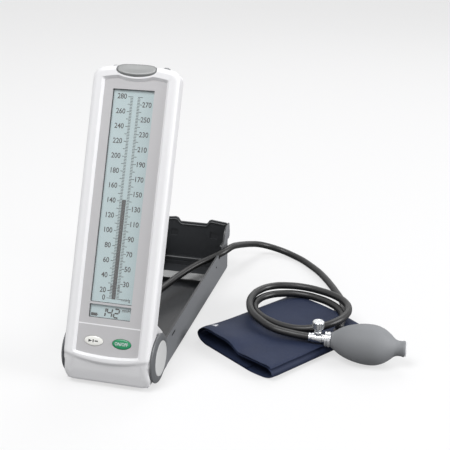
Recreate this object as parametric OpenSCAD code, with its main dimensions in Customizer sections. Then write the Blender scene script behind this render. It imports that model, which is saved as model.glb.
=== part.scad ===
// Desk sphygmomanometer with an upright screen, a folding case, a cuff, two hoses and a bulb.
// Millimetres. X runs right, Y to the back along the case, Z up. The origin is on the
// table under the middle of the hinge. The screen stands open, as in use.

/* [Stance] */
// Lean of the display back from upright, in degrees
lean = 22.8; // [18:0.1:26]
// Height of the hinge axis above the table
hinge_z = 27; // [27:0.1:28]

/* [Display] */
// Width of the front cover
display_w = 93.4; // [92:0.1:93.6]
// Distance from the hinge axis up to the crown of the display
display_up = 295.5; // [292:0.5:296]
// Distance from the hinge axis down to the chin
chin_down = 30.4; // [29:0.1:31]
// Distance of the bezel's face in front of the hinge axis
face_off = 28; // [27.5:0.1:28]
// Distance of the grey panel's face in front of the hinge axis
panel_off = 25.4; // [25:0.1:25.6]
// Distance of the seam between the two covers in front of the hinge axis
seam_off = 13; // [13:0.1:13.2]
// Distance of the flat back in front of the hinge axis
back_off = 6.5; // [6.5:0.1:6.8]
// Width of the rear cover, which nests between the case walls
rear_w = 88; // [87:0.1:88.2]
// Wall thickness of the moulded covers
skin = 2.2; // [2:0.1:2.4]
// Radius of the display's drum round the hinge
drum_r = 23.5; // [23:0.1:23.5]

/* [Screen] */
// Half width of the grey panel
panel_half = 33.3; // [33:0.1:33.4]
// Height of the panel's top edge above the hinge axis
panel_top = 279; // [278:0.5:279]
// Left edge of the two screen windows
window_left = -23.7; // [-24:0.1:-22]
// Right edge of the two screen windows
window_right = 21; // [20:0.1:22]
// Lowest and highest edge of the tall scale window
scale_window = [51.4, 270]; // [50:0.1:271]
// Lowest and highest edge of the number window
number_window = [35.6, 49.3]; // [35:0.1:50]

/* [Buttons] */
// Length of the two oval keys
key_l = 20; // [18:0.5:21]
// Width of the two oval keys
key_w = 10; // [9:0.5:10.5]
// Height of the keys' centres above the hinge axis
key_v = 12; // [11.5:0.1:12.5]
// Distance of each key's centre from the middle
key_x = 15; // [14.5:0.1:15.5]
// Travel of the keys
key_travel = 1; // [0.5:0.1:1]
// Half length of the oval release button on the crown
release_half_l = 21.3; // [20:0.1:21.5]
// Half height of the oval release button
release_half_h = 6.7; // [6.5:0.1:6.7]
// Travel of the release button
release_travel = 2.5; // [2:0.1:2.5]

/* [Case] */
// Width of the case over its side walls
case_w = 93.2; // [93:0.1:93.4]
// Distance from the hinge axis to the outside of the end wall
case_l = 299.7; // [299.5:0.1:301]
// Height of the case's underside above the table
case_z = 1; // [1:0.1:1]
// Thickness of the side walls
case_wall = 2.2; // [2:0.1:2.2]
// Thickness of the floor
case_floor = 2; // [1.8:0.1:2]
// Radius of the ears that carry the hinge
ear_r = 26; // [25.5:0.1:26]
// Rim height at the hinge
rim_low = 33; // [32:0.1:33]
// Rise of the rim per millimetre towards the end wall
rim_rise = 0.0235; // [0.02:0.0005:0.0235]
// Width over the flared wings at the end
wing_w = 98.6; // [98.4:0.1:99]

/* [Hinge] */
// Radius of the steel hinge pins
pin_r = 6; // [5.5:0.1:6]
// Radial running clearance of the pins in their bushings
pin_play = 0.06; // [0.03:0.01:0.1]

/* [Cuff] */
// Width of the folded cuff across its mouth
cuff_w = 123; // [121:0.5:124]
// Length of the folded cuff along the arm
cuff_l = 143; // [138:0.5:145]
// Height of the folded cuff
cuff_h = 15.6; // [15.6:0.1:15.6]
// Turn of the cuff on the table, in degrees
cuff_turn = -35.8; // [-37:0.1:-35]

/* [Hoses] */
// Outer diameter of the rubber hoses
hose_d = 8.5; // [8:0.1:8.5]

/* [Bulb and valve] */
// Greatest diameter of the bulb
bulb_d = 44; // [44:0.1:44]
// Wall thickness of the bulb
bulb_wall = 2.6; // [2:0.1:3]
// Diameter of the release knob
knob_d = 13; // [12:0.1:13]
// Height of the release knob
knob_h = 9; // [8:0.1:9.5]

/* [Hidden] */
$fn = 64;

shell_white = "#f0f0f2";
panel_grey = "#c3c2c4";
case_grey = "#55575a";
ring_grey = "#76787b";
cap_grey = "#cfd0d0";
steel = "#b8bbbf";
rubber = "#2e2e30";
navy = "#3f4560";

// Small gap between pieces that sit close together
gap = 0.1;

// Display
half_w = display_w / 2;
rear_half = rear_w / 2;
crown_r = 184;
corner_r = 12;
cheek_v = -9;
chin_half = 44;
ear_pocket_r = ear_r + 0.6;
bezel_r = 5;
bezel_half = 36;
ledge_half = 31;
ledge_off = panel_off - 3.4;
cavity_half = half_w - skin - 0.1;
pocket_wall_half = 41.6;
smile_r = 227;
ridge_low_r = 143;
drum_left = -38.2;
union_r = 10;
union_pocket_r = 10.6;
release_v = display_up - 5.9;
screw_spots = [for (side = [-1, 1], v = [36, 110, 262]) [side * 37.8, v]];
hook_x = 27.5;
hook_w = 6;
hook_off = [9.5, 14.5];
hook_top = display_up + 1.1;
battery_v = [53, 69];
battery_off = 10.2;
battery_r = 7.1;
bay_half = 34;
bay_v = [41, 81];

// Depths inside the display, in front of the hinge axis
panel_back = panel_off - 1.5;
lens_back = panel_off - 3;
glass_back = 19.9;
holder_back = 17.7;
board_off = [15.2, 16.8];
key_board_off = [16.6, 18.1];
key_pad_front = 19.6;
key_back = panel_off - 3;
release_back = 17.4;
door_off = [0.6, 2.5];

// Case
case_half = case_w / 2;
case_in = case_half - case_wall;
wing_half = wing_w / 2;
wing_in = wing_half - 2.2;
ledge_z = 45.8;
end_in = case_l - 2.5;
floor_top = case_z + case_floor;
notch_y = [250.8, 266.2];
notch_z = 31.6;
strap_y = 228;
strap_w = 20;
strap_z = 10;
step_y = 288;
step_z = 8;
rib_y = 100;

// Hinge
left_pin_end = -30;
right_pin_end = 36;
pin_fit = pin_r + 0.02;
bush_r = 9;
bush_seat = bush_r + 0.05;
flange_r = 11.5;

// Air line inside the case
manifold_at = [-14, 48, 18];
union_x = [-44.2, -38.6];
union_mid = -41.4;
foot_x = 12.5;

// Cuff, drawn flat about its own middle and then laid on the table
cuff_at = [154, 125.5];
cover_h = cuff_h - 2;
slot_z = [4.4, 9.6];
port_at = [218, 131];
side_port_s = 6.8;

// Bulb and valve share one axis along X
bulb_at = [213.4, 95, bulb_d / 2];
tail_x = 188.5;
knob_x = 198.4;
stem_r = 2;
collar_x = 206;

// Routes of the hoses, from the piece that each one leaves to the cuff
case_hose = [
    [-14, 62, 18], [-14, 83, 18], [-14, 104, 18], [-13, 125, 18], [-11, 146, 18.5],
    [-7, 167, 20], [-1, 187, 22], [7, 207, 24.5], [17, 226, 28], [28, 241, 31.5],
    [39, 252, 34.5], [50, 263, 37.5], [57, 280, 38.5], [61, 299, 36], [65, 318, 31],
    [71, 336, 25], [80, 351, 18.5], [94, 361, 12], [111, 362, 7.5], [128, 355, 5],
    [143, 343, 4.5], [157, 327, 4.5], [170, 310, 4.5], [181, 292, 4.5], [191, 273, 4.5],
    [200, 254, 4.5], [208, 235, 5], [213, 216, 6.5], [212.6, 198, 8], [205, 184.7, 8]
];
bulb_hose = [
    [188.5, 95, 22], [168, 96, 23], [148, 100.5, 24.2], [131.5, 112, 25.8], [118.5, 127, 27],
    [111.2, 146, 27.5], [109.6, 167, 27.5], [115, 186.5, 27.5], [128, 201.5, 27.5], [146, 208, 27.5],
    [166, 208.5, 27.5], [186.5, 202.5, 27.8], [205.5, 191.5, 28.4], [218.5, 176.5, 29.2], [224.5, 158.5, 29.7],
    [222.5, 140, 29.8], [213, 123, 29], [197, 112, 26.3], [178, 110, 22.6], [159, 115, 20.4],
    [140.5, 124, 20], [125, 137, 20], [115.6, 154, 20], [115.3, 173, 20], [124.5, 189.5, 20],
    [142, 200, 20], [162.5, 203, 20], [183, 198, 20], [201, 187.5, 20], [214, 172, 20],
    [219, 153, 20], [218, 138, 20]
];
hose_sides = 10;

// Points of an arc from one angle to another
function arc(at, r, from, to, steps = 8) =
    [for (i = [0:steps]) let (a = from + (to - from) * i / steps) at + r * [cos(a), sin(a)]];

// A closed outline from its right half, given from bottom to top
function both_sides(half) =
    concat(half, [for (i = [len(half) - 1:-1:0]) [-half[i][0], half[i][1]]]);

function oval(rx, ry, at = [0, 0], steps = 48) =
    [for (i = [0:steps - 1]) at + [rx * cos(360 * i / steps), ry * sin(360 * i / steps)]];

// A side view point: distance in front of the hinge axis, and height above it
function side(off, v) = [-off, v];
function sides(list) = [for (p = list) side(p[0], p[1])];

function unit(a) = a / norm(a);

// A strip of even thickness along a line of points
function line_normal(path, i) =
    let (a = path[max(i - 1, 0)], b = path[min(i + 1, len(path) - 1)], d = unit(b - a)) [-d[1], d[0]];
function strip(path, t) = concat(
    [for (i = [0:len(path) - 1]) path[i] + line_normal(path, i) * t / 2],
    [for (i = [len(path) - 1:-1:0]) path[i] - line_normal(path, i) * t / 2]
);

function crown(x) = display_up - x * x / (2 * crown_r);
function smile(x) = -2 + x * x / (2 * smile_r);
function ridge_low(x) = -11 + x * x / (2 * ridge_low_r);
function rim(y) = rim_low + rim_rise * y;

// Places a piece drawn upright about the hinge axis into the leaning display
module leaning() {
    translate([0, 0, hinge_z])
        rotate([-lean, 0, 0])
            children();
}

// Thickens a front view between two distances in front of the hinge axis
module front_view(from, to) {
    translate([0, -from, 0])
        rotate([90, 0, 0])
            linear_extrude(to - from)
                children();
}

// Thickens a side view between two places across the width
module side_view(from, to) {
    rotate([90, 0, 90])
        translate([0, 0, from])
            linear_extrude(to - from)
                children();
}

// A cylinder along X
module across(r, from, to) {
    translate([from, 0, 0])
        rotate([0, 90, 0])
            cylinder(r = r, h = to - from);
}

module at_hinge() {
    translate([0, 0, hinge_z])
        children();
}

module box(from, to) {
    translate(from)
        cube(to - from);
}

// A rounded rectangle between two corners
module soft_rect(from, to, r) {
    polygon(concat(
        arc([to[0] - r, from[1] + r], r, -90, 0, 4), arc([to[0] - r, to[1] - r], r, 0, 90, 4),
        arc([from[0] + r, to[1] - r], r, 90, 180, 4), arc([from[0] + r, from[1] + r], r, 180, 270, 4)
    ));
}

// A round tube swept along a route, with one ring of points at each route point
function route_heading(route, i, first, last) =
    i == 0 ? first : i == len(route) - 1 ? last : unit(route[i + 1] - route[i - 1]);
function route_ring(at, heading, r, n, up) =
    let (a = unit(cross(heading, up)), b = cross(a, heading))
    [for (k = [0:n - 1]) at + r * (cos(360 * k / n) * a + sin(360 * k / n) * b)];
// Least gap between turns of a hose, on points along it that are further apart than a half turn
turn_steps = 24;
function along(route) =
    [for (i = [0:len(route) - 2], t = [0:3]) route[i] + (route[i + 1] - route[i]) * t / 4];
function least_gap(points, d) =
    min([for (i = [0:len(points) - turn_steps - 1], j = [i + turn_steps:len(points) - 1])
        norm(points[i] - points[j])]) - d;
echo(least_gap_of_bulb_hose = least_gap(along(bulb_hose), hose_d));

module swept_tube(route, r, n, first, last, up = [0, 0, 1]) {
    m = len(route);
    rings = [for (i = [0:m - 1])
        each route_ring(route[i], route_heading(route, i, first, last), r, n, up)];
    walls = [for (i = [0:m - 2], k = [0:n - 1])
        let (a = i * n + k, b = i * n + (k + 1) % n) each [[a, a + n, b + n], [a, b + n, b]]];
    caps = [[for (k = [0:n - 1]) k], [for (k = [n - 1:-1:0]) (m - 1) * n + k]];
    polyhedron(concat(rings, [for (i = [0:1]) route[i * (m - 1)]]), concat(walls,
        [for (k = [0:n - 1]) [k, (k + 1) % n, m * n]],
        [for (k = [0:n - 1]) [(m - 1) * n + (k + 1) % n, (m - 1) * n + k, m * n + 1]]));
}

// Case

// Side view of a wall: floor line, end, sloping rim and round ear
module wall_view() {
    polygon(concat(
        [[case_l - 3, case_z], [case_l - 0.2, case_z + 3], [case_l - 0.2, ledge_z], [267.7, ledge_z],
        [262, 41.2], [252, rim(252)], [30, rim(30)], [25, 36]],
        arc([0, hinge_z], ear_r, 36, 270, 48)
    ));
}

// Side view of a wing, which rises from the rim in a soft step
module wing_view() {
    polygon([
        [case_l - 0.1, 43.5], [case_l - 0.1, 66], [285, 65.6], [279, 63.5], [274.5, 58.5],
        [271, 51], [266, 43.5]
    ]);
}

// Cross section of a flared wing: a ledge, then an upright wall further out
wing_section = [
    [case_in + 0.1, 40], [case_half - 0.1, 40], [case_half - 0.1, 42.6], [wing_half - 0.9, 45],
    [wing_half - 0.2, 48.5], [wing_half, 55], [wing_half - 0.2, 62], [wing_half - 1.2, 70],
    [wing_in, 70], [wing_in, ledge_z], [case_in + 0.1, ledge_z]
];

// Back view of the end wall: shoulders with a shallow notch between them
end_wall_view = both_sides([
    [case_half, case_z + 2], [case_half, 42.6], [wing_half - 0.8, 45], [wing_half - 0.1, 48.5],
    [wing_half + 0.1, 55], [wing_half - 0.3, 61], [46.5, 65], [44.3, 66], [31.2, 67.4],
    [25, 68.2], [21.5, 67], [18.8, 63], [17.7, 62.2]
]);

module case_tray() {
    color(case_grey) difference() {
        union() {
            for (side = [-1, 1])
                side_view(min(side * case_half, side * case_in), max(side * case_half, side * case_in))
                    wall_view();
            box([-case_in - 1, -4, case_z], [case_in + 1, end_in + 1, floor_top]);
            for (turn = [0, 1])
                mirror([turn, 0, 0])
                    intersection() {
                        side_view(20, 51)
                            wing_view();
                        translate([0, case_l + 1, 0])
                            rotate([90, 0, 0])
                                linear_extrude(case_l - 250)
                                    polygon(wing_section);
                    }
            translate([0, case_l, 0])
                rotate([90, 0, 0])
                    linear_extrude(case_l - end_in)
                        polygon(end_wall_view);
            box([-case_in - 1, step_y, floor_top - 1], [case_in + 1, end_in + 1, step_z]);
            for (x = [-33, 33])
                box([x - 6, rib_y, floor_top - 1], [x + 6, rib_y + 2, floor_top + 1.2]);
        }
        for (x = [-hook_x, hook_x])
            box([x - 5, end_in - 1, 41.5], [x + 5, end_in + 1.3, 50.5]);
        at_hinge()
            across(pin_fit, -50, 50);
        side_view(case_in - 3, wing_half + 1)
            polygon([
                [notch_y[0] + 3, notch_z], [notch_y[1] - 3, notch_z], [notch_y[1], notch_z + 3],
                [notch_y[1], 46], [notch_y[0], 46], [notch_y[0], notch_z + 3]
            ]);
        box([case_half - 0.8, 49, 26.5], [case_half + 1, 61, 29]);
        box([case_half - 0.8, 238, 25], [case_half + 1, 241.5, 27.5]);
        for (side = [-1, 1])
            side_view(side * case_half - 1, side * case_half + 1)
                translate([30, case_z - 1])
                    square([case_l - 30, 1.8]);
    }
}

module front_foot() {
    color(rubber)
        box([-20, -3.5, 0], [20, 4.5, case_z]);
}

module rear_feet() {
    color(rubber)
        for (x = [-36, 36])
            translate([x, 284, 0])
                cylinder(r = 6, h = case_z);
}

// The strap crosses the case and turns down at each wall
module case_strap() {
    top = strap_z + 0.7;
    path = [[-43.7, 5], [-43.7, 8.6], [-41.6, top], [41.6, top], [43.7, 8.6], [43.7, 5]];
    color("#a3a4a4")
        translate([0, strap_y + strap_w, 0])
            rotate([90, 0, 0])
                linear_extrude(strap_w)
                    polygon(strip(path, 1.2));
}

module strap_rivets() {
    color(steel)
        for (side = [-1, 1], y = [strap_y + 5, strap_y + strap_w - 5])
            translate([side > 0 ? 42.1 : -43.05, y, 6.6])
                rotate([0, 90, 0])
                    cylinder(r = 1.8, h = 0.95);
}

// Hinge

// Half section of a ring cover, turned about the hinge axis
ring_section = [[18.8, 0.05], [26, 0.05], [26, 0.5], [25.6, 1], [24.7, 1.35], [19.6, 1.4], [18.8, 1]];
cap_section = [
    [0, 0.8], [10.6, 0.8], [10.6, 0.05], [18.6, 0.05], [18.6, 0.8], [17.4, 1.3], [12, 1.65], [0, 1.8]
];

module turned_cover(side, section) {
    at_hinge()
        translate([side * case_half, 0, 0])
            rotate([0, side * 90, 0])
                rotate_extrude()
                    polygon(section);
}

module left_hinge_ring() {
    color(ring_grey)
        turned_cover(-1, ring_section);
}

module right_hinge_ring() {
    color(ring_grey)
        turned_cover(1, ring_section);
}

module left_hinge_cap() {
    color(cap_grey)
        turned_cover(-1, cap_section);
}

module right_hinge_cap() {
    color(cap_grey)
        turned_cover(1, cap_section);
}

// The left pin is hollow and has a cross hole under the air union
module left_hinge_pin() {
    color(steel) at_hinge() difference() {
        union() {
            across(pin_r, -case_half, left_pin_end);
            across(union_r, -case_half - 0.7, -case_half - 0.05);
        }
        across(1.6, -44, left_pin_end + 1);
        translate([union_mid, 0, 0])
            rotate([-90, 0, 0])
                cylinder(r = 1.4, h = pin_r + 1);
    }
}

module right_hinge_pin() {
    color(steel) at_hinge() {
        across(pin_r, right_pin_end, case_half);
        across(union_r, case_half + 0.05, case_half + 0.7);
    }
}

module hinge_washers() {
    color(steel) at_hinge() difference() {
        union() {
            across(9.5, 38.9, 40.1);
            across(9.5, -34.3, -33.1);
        }
        across(pin_r + 0.05, -50, 50);
    }
}

module hinge_nuts() {
    color(steel) at_hinge() difference() {
        for (x = [36.4, -33])
            translate([x, 0, 0])
                rotate([0, 90, 0])
                    cylinder(r = 9.3, h = 2.4, $fn = 6);
        across(pin_fit, -50, 50);
    }
}

// Collar on the left pin that carries air into it, with a spigot to the back
module air_union() {
    color("#d8d8d4") at_hinge() difference() {
        union() {
            across(union_r, union_x[0], union_x[1]);
            translate([union_mid, 0, 0])
                rotate([-90, 0, 0])
                    cylinder(r = 2.6, h = 16);
        }
        across(pin_fit, -50, left_pin_end);
        translate([union_mid, 0, 0])
            rotate([-90, 0, 0])
                cylinder(r = 1.2, h = 20);
    }
}

module air_manifold() {
    x = manifold_at[0];
    z = manifold_at[2];
    color("#3c3d3f") difference() {
        union() {
            box([x - 9, 40, floor_top], [x + 9, 56, z + 6]);
            box([x - 16, 43, floor_top], [x + 16, 53, floor_top + 3]);
        }
        translate([x, 44, z])
            rotate([-90, 0, 0])
                cylinder(r = 3.02, h = 20);
        translate([x - 20, 48, 12])
            rotate([0, 90, 0])
                cylinder(r = 1.2, h = 20);
        translate([x, 48, 12])
            cylinder(r = 1.2, h = z - 12);
        for (side = [-1, 1])
            translate([x + side * foot_x, manifold_at[1], 0])
                cylinder(r = 1.4, h = 20);
    }
}

module manifold_screws() {
    color(steel)
        for (side = [-1, 1])
            translate([manifold_at[0] + side * foot_x, manifold_at[1], floor_top]) {
                cylinder(r = 1.35, h = 3);
                translate([0, 0, 3])
                    cylinder(r = 2.6, h = 1.6);
            }
}

// Nipple that the case hose ends on
module hose_nipple() {
    color(steel)
        translate([manifold_at[0], 50, manifold_at[2]])
            rotate([-90, 0, 0])
                difference() {
                    union() {
                        cylinder(r = 3, h = 6);
                        translate([0, 0, 6])
                            cylinder(r = 6, h = 3, $fn = 6);
                        translate([0, 0, 9])
                            cylinder(r = 4.6, h = 3);
                    }
                    translate([0, 0, -1])
                        cylinder(r = 1.6, h = 14);
                }
}

union_route = [[union_mid, 16, hinge_z], [-41.2, 24, 26.4], [-41, 31, 22], [-40, 37, 17],
    [-36.5, 43, 13.2], [-30, 47.4, 12], [-23, 48, 12]];

module union_tube() {
    color("#c9c6bd")
        swept_tube(union_route, 2.2, 10, [0, 1, 0], [1, 0, 0]);
}

// Display covers

front_outline = both_sides(concat(
    arc([chin_half - 9, -chin_down + 9], 9, -90, 0, 6),
    [[chin_half, cheek_v], [half_w, cheek_v]],
    arc([half_w - corner_r, crown(half_w - corner_r) - corner_r], corner_r, 0, 84),
    [for (x = [30:-6:6]) [x, crown(x)]]
));

front_section = both_sides(concat(
    arc([half_w - bezel_r, -face_off + bezel_r], bezel_r, -90, 0),
    [[half_w, -seam_off]]
));

// Side view of the front cover: chin sloping back, upright face, rounded crown
front_profile = sides(concat(
    [[seam_off, -30], [14, -chin_down], [16.4, -29.4], [22.6, -17.5], [26.2, -7], [27, -2], [face_off, 4]],
    arc([face_off - bezel_r, display_up - bezel_r], bezel_r, 0, 90, 6),
    [[seam_off, display_up]]
));

panel_outline = both_sides(concat(
    [for (x = [4:7.3:panel_half]) [x, smile(x)]],
    [[panel_half, smile(panel_half)], [panel_half, panel_top]]
));

module window_cut() {
    cut = panel_half + 0.3;
    intersection() {
        translate([0, 0, -5])
            linear_extrude(panel_top + 5.3)
                polygon(both_sides([
                    [bezel_half, -face_off - gap], [cut, -panel_off], [cut, -panel_back]
                ]));
        front_view(20, 30)
            polygon(both_sides(concat(
                [for (x = [4:7.6:bezel_half]) [x, smile(x) - 0.3]],
                [[bezel_half + 1, smile(bezel_half)], [bezel_half + 1, panel_top + 0.3]]
            )));
    }
}

// Way of a latch hook through the crown
module hook_slot(x, from) {
    half = hook_w / 2 + 0.4;
    translate([x - half, from])
        square([2 * half, display_up + 2 - from]);
}

module front_cover() {
    color(shell_white) leaning() difference() {
        union() {
            intersection() {
                translate([0, 0, -chin_down - 2])
                    linear_extrude(display_up + chin_down + 6)
                        polygon(front_section);
                front_view(seam_off, face_off + 1)
                    polygon(front_outline);
                side_view(-half_w - 1, half_w + 1)
                    polygon(front_profile);
            }
            front_view(20, face_off)
                polygon(both_sides(concat(
                    [for (x = [3:7.5:40.5]) [x, ridge_low(x)]],
                    [for (x = [40.5:-7.5:3]) [x, smile(x)]]
                )));
        }
        difference() {
            union() {
                front_view(seam_off - 1, ledge_off)
                    polygon(both_sides(concat(
                        [[pocket_wall_half, -5], [pocket_wall_half, 32], [cavity_half, 36]],
                        arc([cavity_half - 9, display_up - 14.5], 9, 0, 90, 5)
                    )));
                side_view(-pocket_wall_half, pocket_wall_half)
                    polygon(sides([
                        [seam_off - 1, -27], [15, -27], [20.4, -16.5], [22, -9], [22, -4], [seam_off - 1, -4]
                    ]));
            }
            for (p = screw_spots)
                front_view(seam_off - 1, ledge_off + 1)
                    translate(p)
                        circle(r = 3.2);
        }
        window_cut();
        front_view(ledge_off - 1, panel_off)
            polygon(both_sides([[ledge_half, 1.5], [ledge_half, panel_top - 2]]));
        for (side = [-1, 1])
            across(ear_pocket_r, min(side * 44.2, side * 50), max(side * 44.2, side * 50));
        front_view(release_back - release_travel - gap, face_off + 2)
            polygon(oval(release_half_l + 0.35, release_half_h + 0.35, [0, release_v]));
        for (x = [-hook_x, hook_x])
            front_view(seam_off - 1, hook_off[1] + 0.5)
                hook_slot(x, 284);
        for (p = screw_spots)
            front_view(seam_off - 1, 20.6)
                translate(p)
                    circle(r = 1.3);
    }
}

rear_edge_r = 5.5;
rear_section = both_sides(concat(
    [[rear_half, -seam_off]],
    arc([rear_half - rear_edge_r, -back_off - rear_edge_r], rear_edge_r, 0, 90, 6)
));
rear_crown = crown(0) - skin;
rear_outline = both_sides(concat(
    [[rear_half, 20]],
    arc([rear_half - 10, rear_crown - 14.5], 10, 0, 86, 6),
    [for (x = [28:-7:7]) [x, rear_crown - x * x / (2 * crown_r)]]
));

// The drum wraps the hinge; above it the cover swells back, below it the underside runs to the chin
drum_profile = sides(concat(
    [[seam_off, -30], [-8.3, -22]],
    arc([0, 0], drum_r, 250, 165, 10),
    [[-21, 15], [-16, 25.5], [back_off, 34], [seam_off, 34]]
));
drum_hollow = sides(concat(
    [[seam_off + 1, -27.2], [-7.4, -19.6]],
    arc([0, 0], drum_r - skin, 250, 165, 10),
    [[-18.8, 13.8], [-14.4, 23.6], [8.7, 32.2], [seam_off + 1, 32.2]]
));

module rear_cover() {
    floor_off = back_off + skin;
    color(shell_white) leaning() difference() {
        union() {
            intersection() {
                translate([0, 0, 20])
                    linear_extrude(display_up)
                        polygon(rear_section);
                front_view(back_off, seam_off)
                    polygon(rear_outline);
            }
            side_view(-rear_half, rear_half)
                polygon(drum_profile);
            front_view(door_off[1] + 0.2, floor_off)
                soft_rect([-bay_half, bay_v[0]], [bay_half, bay_v[1]], 3);
        }
        difference() {
            front_view(floor_off, seam_off + 1)
                polygon(both_sides(concat(
                    [[41.6, 30]],
                    arc([rear_half - 12.4, rear_crown - 14.8], 10, 0, 90, 5)
                )));
            for (p = screw_spots)
                front_view(floor_off - 1, seam_off - gap)
                    translate(p)
                        circle(r = 3.2);
        }
        side_view(drum_left + skin, 41.8)
            polygon(drum_hollow);
        front_view(floor_off, seam_off + 1)
            polygon(both_sides([[41.6, -26], [41.6, 33]]));
        front_view(door_off[1] + gap, floor_off + 1)
            soft_rect([2.5 - bay_half, bay_v[0] + 2.5], [bay_half - 2.5, bay_v[1] - 2.5], 2);
        box([-50, -back_off, -35], [drum_left, 40, 60]);
        across(union_pocket_r, -50, drum_left);
        across(bush_seat, 40, 50);
        across(bush_seat, drum_left - 1, -34);
        for (x = [-hook_x, hook_x])
            front_view(hook_off[0] - 0.4, seam_off + 1)
                hook_slot(x, 280);
        for (p = screw_spots) {
            front_view(back_off - 1, seam_off + 1)
                translate(p)
                    circle(r = 1.6);
            front_view(back_off - 1, back_off + 1.6)
                translate(p)
                    circle(r = 3);
        }
    }
}

// Flanged bush in the drum's side wall; the shoulder is inside the drum
module bushing(shoulder, seat, out) {
    color("#c8a45c") at_hinge() difference() {
        union() {
            across(bush_r, min(seat, out), max(seat, out));
            across(flange_r, min(shoulder, seat), max(shoulder, seat));
        }
        across(pin_r + pin_play, -50, 50);
    }
}

module left_hinge_bushing() {
    bushing(-34.4, -35.9, drum_left);
}

module right_hinge_bushing() {
    bushing(40.2, 41.7, rear_half);
}

module cover_screws() {
    color(steel) leaning()
        for (p = screw_spots) {
            front_view(back_off + 0.2, back_off + 1.5)
                translate(p)
                    circle(r = 2.7);
            front_view(back_off + 1.5, 19.5)
                translate(p)
                    circle(r = 1.25);
        }
}

// Screen

module display_panel() {
    color(panel_grey) leaning() difference() {
        front_view(panel_back, panel_off)
            polygon(panel_outline);
        front_view(panel_off - 2, panel_off + 1) {
            soft_rect([window_left, scale_window[0]], [window_right, scale_window[1]], 0.8);
            soft_rect([window_left, number_window[0]], [window_right, number_window[1]], 0.8);
        }
        for (side = [-1, 1])
            front_view(panel_off - 2, panel_off + 1)
                polygon(oval(key_l / 2 + 0.3, key_w / 2 + 0.3, [side * key_x, key_v]));
    }
}

module screen_lens() {
    color("#dfe8ea") leaning()
        front_view(lens_back, panel_back - 0.05)
            soft_rect([-28.5, 31], [28.5, 274], 1.5);
}

module screen_glass() {
    color("#bccfd2") leaning()
        front_view(glass_back, lens_back - gap)
            soft_rect([-27.4, 32], [27.4, 273], 0.8);
}

module screen_holder() {
    color("#e8e8e6") leaning() difference() {
        front_view(holder_back, 21.9)
            soft_rect([-30.6, 29], [30.6, 276], 1.5);
        front_view(glass_back - gap, 23)
            soft_rect([-27.6, 31.8], [27.6, 273.2], 0.8);
        front_view(holder_back - 1, 23)
            soft_rect([-20, 90], [20, 262], 2);
    }
}

module circuit_board() {
    color("#2f6b46") leaning() {
        front_view(board_off[0], board_off[1])
            soft_rect([-33, 86], [33, 240], 2);
        for (v = [120, 150, 190])
            front_view(board_off[0] - 2, board_off[0])
                soft_rect([-8, v - 8], [8, v + 8], 0.6);
    }
}

module pressure_sensor() {
    color("#d8d6d0") leaning() {
        front_view(board_off[0] - 4.6, board_off[0] - gap)
            soft_rect([-26, 92], [-14, 104], 0.6);
        translate([-20, -12.6, 86])
            cylinder(r = 1.6, h = 6);
    }
}

sensor_route = [[-20, -12.6, 86], [-23, -12.4, 83.6], [-31, -11.6, 83.2], [-36.6, -11, 80.6],
    [-38, -10.9, 74], [-38, -10.9, 60], [-38, -10.9, 46], [-33.4, -10.9, 38], [-28, -10.4, 30],
    [-26, -8, 20], [-26.4, -4, 10], [-27, -1.2, 3.4], [-29.9, 0, 0]];

module sensor_tube() {
    color("#c9c6bd") leaning()
        swept_tube(sensor_route, 1.9, 10, [0, 0, -1], [-1, 0, 0], [0, 1, 0]);
}

module key_board() {
    color("#2f6b46") leaning()
        front_view(key_board_off[0], key_board_off[1])
            soft_rect([-31, -1], [31, 27], 1.5);
}

module key_pad() {
    color("#9a9c9e") leaning() {
        front_view(key_board_off[1], key_pad_front)
            soft_rect([-28, 1], [28, 23], 2);
        for (side = [-1, 1])
            front_view(key_pad_front, key_back - key_travel - 0.2)
                translate([side * key_x, key_v])
                    circle(r = 4.4);
    }
}

module key(side) {
    at = [side * key_x, key_v];
    leaning() {
        front_view(key_back, panel_off - 1.9)
            polygon(oval(key_l / 2 + 1.2, key_w / 2 + 1.2, at));
        front_view(panel_off - 1.9, panel_off + 0.3)
            polygon(oval(key_l / 2, key_w / 2, at));
        front_view(panel_off + 0.3, panel_off + 0.8)
            polygon(oval(key_l / 2 - 0.6, key_w / 2 - 0.6, at));
    }
}

module mark_key() {
    color("#f7f7f2")
        key(-1);
}

module power_key() {
    color("#1f8f5f")
        key(1);
}

// Batteries

module battery_tray() {
    color("#e8e8e6") leaning() difference() {
        front_view(8.8, 17.5)
            soft_rect([2.8 - bay_half, bay_v[0] + 2.8], [bay_half - 2.8, bay_v[1] - 2.8], 1);
        front_view(8, 18)
            soft_rect([5 - bay_half, bay_v[0] + 4.4], [bay_half - 5, bay_v[1] - 4.4], 0.8);
    }
}

module batteries() {
    color("#3d5a73") leaning()
        for (v = battery_v)
            translate([0, -battery_off, v]) {
                across(battery_r, -24.6, 24.2);
                across(2.6, 24.2, 25.3);
            }
}

module battery_contacts() {
    color(steel) leaning()
        for (side = [-1, 1], v = battery_v) {
            translate([0, -battery_off, v])
                across(side > 0 ? 2.2 : 3.4, side > 0 ? 25.4 : -28.1, side > 0 ? 28.1 : -24.7);
            box([side > 0 ? 28.2 : -28.8, -15, v - 5], [side > 0 ? 28.8 : -28.2, -5.6, v + 5]);
        }
}

// Door that slides up the display's back to open
module battery_cover() {
    color(shell_white) leaning() {
        front_view(door_off[0], door_off[1])
            soft_rect([-bay_half, bay_v[0]], [bay_half, bay_v[1]], 3);
        for (v = [69, 72, 75])
            front_view(door_off[0] - 0.5, door_off[0])
                soft_rect([-9, v - 0.6], [9, v + 0.6], 0.5);
    }
}

// Latch

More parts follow.
